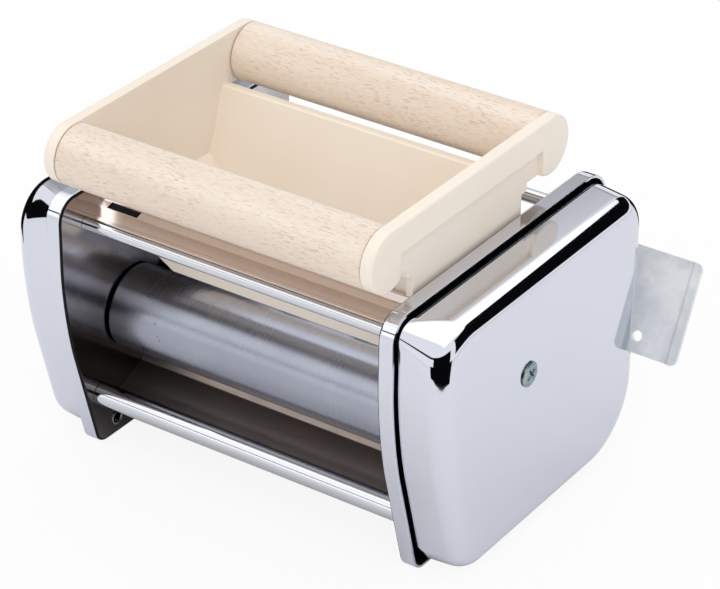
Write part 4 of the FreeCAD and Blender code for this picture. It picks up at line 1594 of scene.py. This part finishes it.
@dataclass
class TieRods:
    """Four turned rods that hold the side plates apart."""

    half: float = 65.9
    top_radius: float = 2.55
    top_z: float = 93.9
    top_y: tuple[float, float] = (-41.1, 66.0)
    low_radius: float = 4.2
    low_z: float = 21.4
    low_y: tuple[float, float] = (-36.2, 57.0)
    edge: float = 0.3
    edge_facets: int = 3
    facets: int = 96
    finish: ChromePlate = ChromePlate("rod_chrome", ink(214, 216, 222), 0.09, 1.2e-5)

    def turn(self, bench: Bench, name: str, y: float, z: float, radius: float) -> None:
        """Turn one rod.

        Args:
            bench: Where pieces are fitted.
            name: Node that it stands for.
            y: Y of its axis.
            z: Z of its axis.
            radius: Its radius.
        """
        bm = rod(-self.half, self.half, radius, y, z, self.facets)
        for end in (-self.half, self.half):
            round_over(bm, hoop(bm, end, y, z, radius), self.edge, self.edge_facets)
        bench.mount(bm, name + "_turned", self.finish, Body.FRAME, (name,))

    def build(self, bench: Bench) -> None:
        """Make the four rods.

        Args:
            bench: Where pieces are fitted.
        """
        for word, top_y, low_y in zip(("front", "rear"), self.top_y, self.low_y):
            self.turn(bench, f"{word}_top_rod", top_y, self.top_z, self.top_radius)
            self.turn(bench, f"{word}_lower_rod", low_y, self.low_z, self.low_radius)


@dataclass
class SheetParts:
    """Deck plates, scrapers, tongues and the small rivets of the frame."""

    half: float = 65.9
    sheet: float = 0.5
    deck_line: tuple[Point, ...] = (
        (-32.16, 104.3),
        (-33.8, 104.3),
        (-34.4, 101.4),
        (-38.1, 100.4),
        (-41.0, 97.7),
        (-42.2, 97.3),
    )
    deck_bends: tuple[float, ...] = (0.6, 0.6, 0.8, 1.0)
    rear_line: tuple[Point, ...] = (
        (31.5, 102.6),
        (34.2, 101.6),
        (38.1, 100.4),
        (41.0, 97.7),
        (42.2, 97.3),
    )
    rear_bends: tuple[float, ...] = (1.0, 1.5, 0.8, 1.0)
    # Painted shade for the dark pan that fills the view through the slot.
    pan_painted_shade: PaintedShadeBlack = PaintedShadeBlack("slot_painted_shade")
    slot_out_x: float = -59.0
    slot_in_x: tuple[float, float] = (-51.2, -46.0)
    slot_y: tuple[float, float] = (-34.7, -37.7)
    slot_z: tuple[float, float] = (90.0, 103.0)
    pan_margin: Point = (1.2, 0.4)
    pan_z: tuple[float, float] = (99.2, 99.95)
    pan_rise: float = 0.95
    deck_ease: float = 0.12
    eyelet: Point = (-27.6, 6.7)
    eyelet_line: tuple[Point, ...] = (  # X from the plate, radius
        (-0.45, 2.45),
        (-0.5, 2.65),
        (-0.3, 2.95),
        (0.0, 2.85),
        (1.3, 2.6),
        (1.3, 2.1),
        (-0.2, 2.1),
    )
    eyelet_ease: float = 0.08
    eyelet_facets: int = 48
    deck_finish: ChromePlate = ChromePlate("deck_chrome", ink(228, 214, 207), 0.14)
    scraper_finish: BrightSteel = BrightSteel("scraper_steel", ink(168, 155, 148), 0.34)
    tongue_finish: ZincPlate = ZincPlate("tongue_zinc")
    rivet_finish: BrightSteel = BrightSteel("rivet_steel", roughness=0.2)

    def opening(self) -> BMesh:
        """Shape the opening near the left end, with its slanted inner end.

        Returns:
            Its cutter.
        """
        tool = block(
            (self.slot_out_x, self.slot_y[1], self.slot_z[0]),
            (self.slot_in_x[0], self.slot_y[0], self.slot_z[1]),
        )
        slid = [v for v in tool.verts if v.co.x > self.slot_out_x + 1.0 and v.co.y < self.slot_y[0]]
        slant = self.slot_in_x[1] - self.slot_in_x[0]
        bmesh.ops.translate(tool, verts=slid, vec=(slant, 0.0, 0.0))
        return tool

    def pan(self) -> BMesh:
        """Shape the near-black pan of painted shade under the opening, rising towards the hopper.

        Returns:
            The pan.
        """
        along, across = self.pan_margin
        pan = block(
            (self.slot_out_x - along, self.slot_y[1] - across, self.pan_z[0]),
            (self.slot_in_x[1] + along, self.slot_y[0] + across, self.pan_z[1]),
        )
        middle = sum(self.pan_z) / 2.0
        raised = [v for v in pan.verts if v.co.y > self.slot_y[0] and v.co.z > middle]
        bmesh.ops.translate(pan, verts=raised, vec=(0.0, 0.0, self.pan_rise))
        # Face 1 takes the near-black painted shade.
        for face in pan.faces:
            face.material_index = 1
        return pan

    def _mount_deck(self, bench: Bench, bm: BMesh, word: str, *linings: Finish) -> None:
        """Fit a deck plate to the frame.

        Args:
            bench: Where pieces are fitted.
            bm: The deck plate.
            word: "front" or "rear".
            linings: Finishes of the faces numbered 1, 2 and so on.
        """
        bench.mount(
            bm,
            f"{word}_deck_folded",
            self.deck_finish,
            Body.FRAME,
            (f"{word}_deck_plate",),
            ease=self.deck_ease,
            linings=linings,
        )

    def decks(self, bench: Bench) -> None:
        """Fold both deck plates; the front one has the slot and its pan of painted shade.

        Args:
            bench: Where pieces are fitted.
        """
        front = fold(self.deck_line, self.deck_bends, self.half, self.sheet)
        carve(front, self.opening())
        add_mesh(front, self.pan())
        self._mount_deck(bench, front, "front", self.pan_painted_shade)
        rear = fold(self.rear_line, self.rear_bends, self.half, self.sheet)
        self._mount_deck(bench, rear, "rear")

    def eyelets(self, bench: Bench) -> None:
        """Roll the two eyelets of the side plates.

        Args:
            bench: Where pieces are fitted.
        """
        section = [(self.half + x, radius) for x, radius in self.eyelet_line]
        bm = lathe(section, *self.eyelet, self.eyelet_facets)
        join_twin(bm)
        bench.mount(
            bm,
            "plate_eyelets_rolled",
            self.rivet_finish,
            Body.FRAME,
            ("plate_eyelets",),
            ease=self.eyelet_ease,
        )

    def build(self, bench: Bench) -> None:
        """Ease and dress the sheet parts.

        Args:
            bench: Where pieces are fitted.
        """
        self.decks(bench)
        for word in ("front", "rear"):
            bench.cast(
                f"{word}_scraper",
                self.scraper_finish,
                Body.FRAME,
                ease=0.3,
                angle=12.0,
                segments=3,
            )
        for side in Side:
            bench.cast(
                f"{side.word}_mounting_tongue",
                self.tongue_finish,
                Body.FRAME,
                ease=0.4,
                angle=20.0,
                segments=3,
            )
        bench.cast("tongue_rivets", self.rivet_finish, Body.FRAME, ease=0.1)
        self.eyelets(bench)


@dataclass
class PressRollers:
    """Front pressure roller, rear forming roller and what carries them."""

    half: float = 65.0
    hub: float = 63.5
    radius: float = 15.8
    y: float = -16.0
    z: float = 49.4
    edge: float = 0.6
    recess: float = 3.0
    recess_out: float = 13.5
    recess_in: float = 8.0
    recess_edge: float = 0.3
    facets: int = 160
    edge_facets: int = 4
    recess_facets: int = 2
    bore: float = 5.0
    roller_finish: TurnedSteel = TurnedSteel("roller_steel")
    shaft_finish: BrightSteel = BrightSteel("shaft_steel")
    gear_finish: BrightSteel = BrightSteel("gear_steel", ink(160, 162, 166), 0.38)
    bush_finish: BearingBrass = BearingBrass("bush_brass")

    def front_roller(self, bench: Bench) -> None:
        """Turn the plain roller with its end recesses.

        Args:
            bench: Where pieces are fitted.
        """
        x = self.half
        far = self.hub - self.recess
        right = [
            (x, self.radius),
            (x, self.recess_out),
            (far, self.recess_out),
            (far, self.recess_in),
            (self.hub, self.recess_in),
            (self.hub, self.bore),
        ]
        left = [(-px, radius) for px, radius in reversed(right)]
        bm = lathe(right + left, self.y, self.z, self.facets)
        for end in (-x, x):
            outer = hoop(bm, end, self.y, self.z, self.radius)
            round_over(bm, outer, self.edge, self.edge_facets)
            inner = hoop(bm, end, self.y, self.z, self.recess_out)
            round_over(bm, inner, self.recess_edge, self.recess_facets)
        bench.mount(
            bm,
            "front_roller_turned",
            self.roller_finish,
            Body.FRONT_ROLLER,
            ("front_roller",),
        )

    def build(self, bench: Bench) -> None:
        """Make the rollers and dress the drive.

        Args:
            bench: Where pieces are fitted.
        """
        front, rear = Body.FRONT_ROLLER, Body.REAR_ROLLER
        steel, gear, shaft = Slot.STEEL, self.gear_finish, self.shaft_finish
        self.front_roller(bench)
        bench.cast("rear_roller", self.roller_finish, rear, ease=0.25, angle=40.0)
        bench.cast("front_roller_shaft", shaft, front, ease=0.15)
        bench.cast("rear_roller_shaft", shaft, rear, ease=0.15)
        bench.cast("crank_socket", shaft, front, ease=0.3)
        bench.cast("drive_gear", gear, front, ease=0.12, angle=50.0)
        bench.cast("driven_gear", gear, rear, ease=0.12, angle=50.0)
        for end in ("left", "right"):
            for word in ("front", "rear"):
                node = f"{end}_{word}_bush"
                bench.cast(node, self.bush_finish, Body.FRAME, ease=0.15)
        bench.coat(
            self.shaft_finish,
            "drive_gear_key",
            "driven_gear_key",
            "crank_socket_pin",
            "front_shaft_clip",
            "rear_shaft_clips",
            "cover_standoffs",
            "top_rod_screws",
            "lower_rod_screws",
        )


@dataclass
class HopperTop:
    """Cream hopper with its two beech rollers and their axles."""

    dowel_half: float = 62.2
    dowel_radius: float = 11.0
    dowel_y: float = 50.0
    dowel_z: float = 125.8
    dowel_edge: float = 0.6
    dowel_facets: int = 144
    edge_facets: int = 4
    axle: float = 2.0
    throat_x: float = 43.6
    throat_z: float = 72.5
    web_x: float = 65.2
    web_z: float = 94.0
    web_reach: Point = (75.0, 45.0)  # how far out and across the corner cutters go
    web_depth: float = 3.0
    web_clear: float = 0.02
    lip_half: float = 62.62
    lip_y: tuple[float, float] = (37.7, 43.7)
    lip_z: tuple[float, float] = (115.0, 119.0)
    hopper_finish: CreamPlastic = CreamPlastic("hopper_cream")
    front_beech: SteamedBeech = SteamedBeech("front_beech")
    rear_beech: SteamedBeech = SteamedBeech("rear_beech", shift=0.37)
    axle_finish: BrightSteel = BrightSteel("axle_steel")

    def dowel(self, bench: Bench, word: str, y: float, body: Body, finish: SteamedBeech) -> None:
        """Turn one beech roller.

        Args:
            bench: Where pieces are fitted.
            word: "front" or "rear".
            y: Y of its axis.
            body: Body that it turns with.
            finish: Its wood.
        """
        x = self.dowel_half
        profile = [(-x, self.axle), (-x, self.dowel_radius), (x, self.dowel_radius), (x, self.axle)]
        bm = lathe(profile, y, self.dowel_z, self.dowel_facets)
        for end in (-x, x):
            rim = hoop(bm, end, y, self.dowel_z, self.dowel_radius)
            round_over(bm, rim, self.dowel_edge, self.edge_facets)
        bench.mount(bm, f"{word}_dowel_turned", finish, body, (f"{word}_dowel",))

    def corner_cut(self, side: Side) -> BMesh:
        """Shape what takes off the wall corners below a sloping end floor.

        Args:
            side: Which end.

        Returns:
            The wedge under the floor, across both walls.
        """
        rise = (self.web_z - self.throat_z) / (self.web_x - self.throat_x)
        out, across = self.web_reach
        tool = block(
            (self.throat_x, -across, self.throat_z - self.web_depth),
            (out, across, self.throat_z),
        )
        for vert in tool.verts:
            if vert.co.z > self.throat_z - self.web_depth / 2.0:
                climb = rise * (vert.co.x - self.throat_x)
                vert.co.z = self.throat_z - self.web_clear + climb
        to_side(tool, side)
        return tool

    def lip_cut(self) -> BMesh:
        """Shape what leaves the rear wall a narrow lip, clear of its roller.

        Returns:
            Its cutter.
        """
        return block(
            (-self.lip_half, self.lip_y[0], self.lip_z[0]),
            (self.lip_half, self.lip_y[1], self.lip_z[1]),
        )

    def build(self, bench: Bench) -> None:
        """Dress the hopper and turn its rollers.

        Args:
            bench: Where pieces are fitted.
        """
        bench.cast(
            "hopper",
            self.hopper_finish,
            Body.HOPPER,
            ease=0.35,
            angle=32.0,
            segments=3,
            cutters=[self.lip_cut(), *(self.corner_cut(side) for side in Side)],
        )
        self.dowel(bench, "front", -self.dowel_y, Body.FRONT_DOWEL, self.front_beech)
        self.dowel(bench, "rear", self.dowel_y, Body.REAR_DOWEL, self.rear_beech)
        bench.coat(self.axle_finish, "front_dowel_axle", "rear_dowel_axle")


# ---- studio ----


@dataclass
class Camera:
    """Where the maker looks from, in frame metres and degrees."""

    spot: tuple[float, float, float] = (0.52579, -0.77151, 0.60137)
    azimuth: float = 33.864
    elevation: float = 30.194
    roll: float = 0.864
    lens: float = 150.76
    sensor: float = 36.0
    clip_end: float = 20.0

    def build(self) -> None:
        """Place the camera."""
        a, e, r = (math.radians(v) for v in (self.azimuth, self.elevation, self.roll))
        back = Vector((math.sin(a) * math.cos(e), -math.cos(a) * math.cos(e), math.sin(e)))
        level = Vector((math.cos(a), math.sin(a), 0.0))
        up = back.cross(level)
        right = math.cos(r) * level + math.sin(r) * up
        top = math.cos(r) * up - math.sin(r) * level
        turn = Matrix((right, top, back)).transposed().to_4x4()
        data = bpy.data.cameras.new("maker_camera")
        data.lens = self.lens
        data.sensor_width = self.sensor
        data.clip_end = self.clip_end
        camera = place_new("maker_camera", data)
        camera.matrix_world = Matrix.Translation(self.spot) @ turn
        bpy.context.scene.camera = camera


@dataclass(frozen=True)
class Softbox:
    """One rectangular studio light."""

    name: str
    spot: tuple[float, float, float]
    size: tuple[float, float]
    power: float
    aim: tuple[float, float, float] = (0.0, 0.0, MIDDLE_HEIGHT)
    mirrored: bool = True

    def build(self) -> None:
        """Hang the light and aim it."""
        data = bpy.data.lights.new(self.name, "AREA")
        data.shape = "RECTANGLE"
        data.size, data.size_y = self.size
        data.energy = self.power
        lamp = place_new(self.name, data)
        lamp.visible_glossy = self.mirrored
        away = Vector(self.spot) - Vector(self.aim)
        lamp.rotation_euler = away.to_track_quat("Z", "Y").to_euler()
        lamp.location = self.spot


def stage_mesh(name: str, bm: BMesh, material: bpy.types.Material) -> bpy.types.Object:
    """Put a mesh that is no part of the object on the stage.

    Args:
        name: Its name.
        bm: The mesh in metres, used up here.
        material: Its material.

    Returns:
        The stage object.
    """
    mesh = new_mesh(name, bm)
    mesh.materials.append(material)
    thing = place_new(name, mesh)
    return thing


@dataclass(frozen=True)
class DarkCard:
    """Curved dark card that only shows in polished metal."""

    name: str
    start: float
    sweep: float
    low: float
    high: float
    reach: float = 1.6
    finish: Finish = BlackFlock()
    facets: int = 24

    def build(self, bench: Bench) -> None:
        """Bend a strip round the object at a fixed reach.

        Args:
            bench: Holds the finishes.
        """
        bm = bmesh.new()
        middle = Vector((0.0, 0.0, MIDDLE_HEIGHT))
        a = math.radians(self.start)
        ends = []
        for lift in (self.low, self.high):
            e = math.radians(lift)
            away = Vector((math.sin(a) * math.cos(e), math.cos(a) * math.cos(e), math.sin(e)))
            ends.append(bm.verts.new(away * self.reach + middle))
        edge = bm.edges.new(ends)
        bmesh.ops.spin(
            bm,
            geom=[*ends, edge],
            cent=(0.0, 0.0, 0.0),
            axis=(0.0, 0.0, -1.0),
            angle=math.radians(self.sweep),
            steps=self.facets,
        )
        card = stage_mesh(self.name, bm, bench.material(self.finish))
        card.visible_camera = False
        card.visible_diffuse = False
        card.visible_shadow = False
        card.visible_transmission = False


@dataclass
class Studio:
    """White table, soft lamps, dark cards and an even surround."""

    floor_size: float = 8.0
    surround: float = 0.58
    lights: tuple[Softbox, ...] = (
        Softbox("overhead_light", (0.0, 0.55, 1.9), (3.6, 3.4), 23.0, (0.0, 0.55, 0.0)),
        Softbox("front_left_light", (-1.6, -1.9, 1.3), (2.2, 2.0), 5.0),
        Softbox("front_right_light", (1.3, -1.9, 2.0), (2.4, 2.4), 20.5, mirrored=False),
    )
    cards: tuple[DarkCard, ...] = (
        DarkCard("rear_right_card", -8.0, 94.0, 7.0, 38.0),
        DarkCard("rear_left_card", -128.0, 90.0, -2.0, 22.0),
        DarkCard("rear_left_low_card", -112.0, 74.0, -13.0, 9.0, 0.25),
        DarkCard("rear_low_card", -20.0, 44.0, -13.0, 9.0, 0.25),
        DarkCard("front_right_card", 100.0, 64.0, -2.0, 24.0),
        DarkCard("front_right_low_card", 106.0, 54.0, -13.0, 9.0, 0.25),
        DarkCard("front_thin_card", 160.0, 74.0, 19.0, 23.5),
        DarkCard("rear_grey_card", -70.0, 60.0, 22.0, 52.0, finish=FadedCard()),
    )

    def floor(self, bench: Bench) -> None:
        """Lay the white table.

        Args:
            bench: Holds the finishes.
        """
        bm = bmesh.new()
        bmesh.ops.create_grid(bm, x_segments=1, y_segments=1, size=self.floor_size / 2.0)
        stage_mesh("table_top", bm, bench.material(PaleFloor()))

    def sky(self) -> None:
        """Surround the set with even white light."""
        world = bpy.data.worlds.new("white_surround")
        world.use_nodes = True
        sky = Graph(world.node_tree)
        rest = 1.0 - self.surround
        strength = sky.seen_by(rest, rest, rest) + self.surround
        inputs = {"Color": WHITE, "Strength": strength}
        glow = sky.node("ShaderNodeBackground", None, inputs)
        sky.node("ShaderNodeOutputWorld", None, {"Surface": glow.outputs[0]})
        bpy.context.scene.world = world

    def build(self, bench: Bench) -> None:
        """Set up the whole studio.

        Args:
            bench: Holds the finishes.
        """
        self.floor(bench)
        self.sky()
        for light in self.lights:
            light.build()
        for card in self.cards:
            card.build(bench)
        bpy.context.scene.view_settings.view_transform = "Standard"


def main() -> None:
    """Load the frame, build and dress each sub-assembly, and set the stage."""
    logging.basicConfig(level=logging.INFO, format="%(name)s: %(message)s")
    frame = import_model()
    bench = Bench(frame)
    Camera().build()
    for assembly in (
        PressedSides(),
        CrossScrews(),
        TieRods(),
        SheetParts(),
        PressRollers(),
        HopperTop(),
    ):
        LOG.info("building %s", type(assembly).__name__)
        assembly.build(bench)
    Studio().build(bench)


if __name__ == "__main__":
    main()
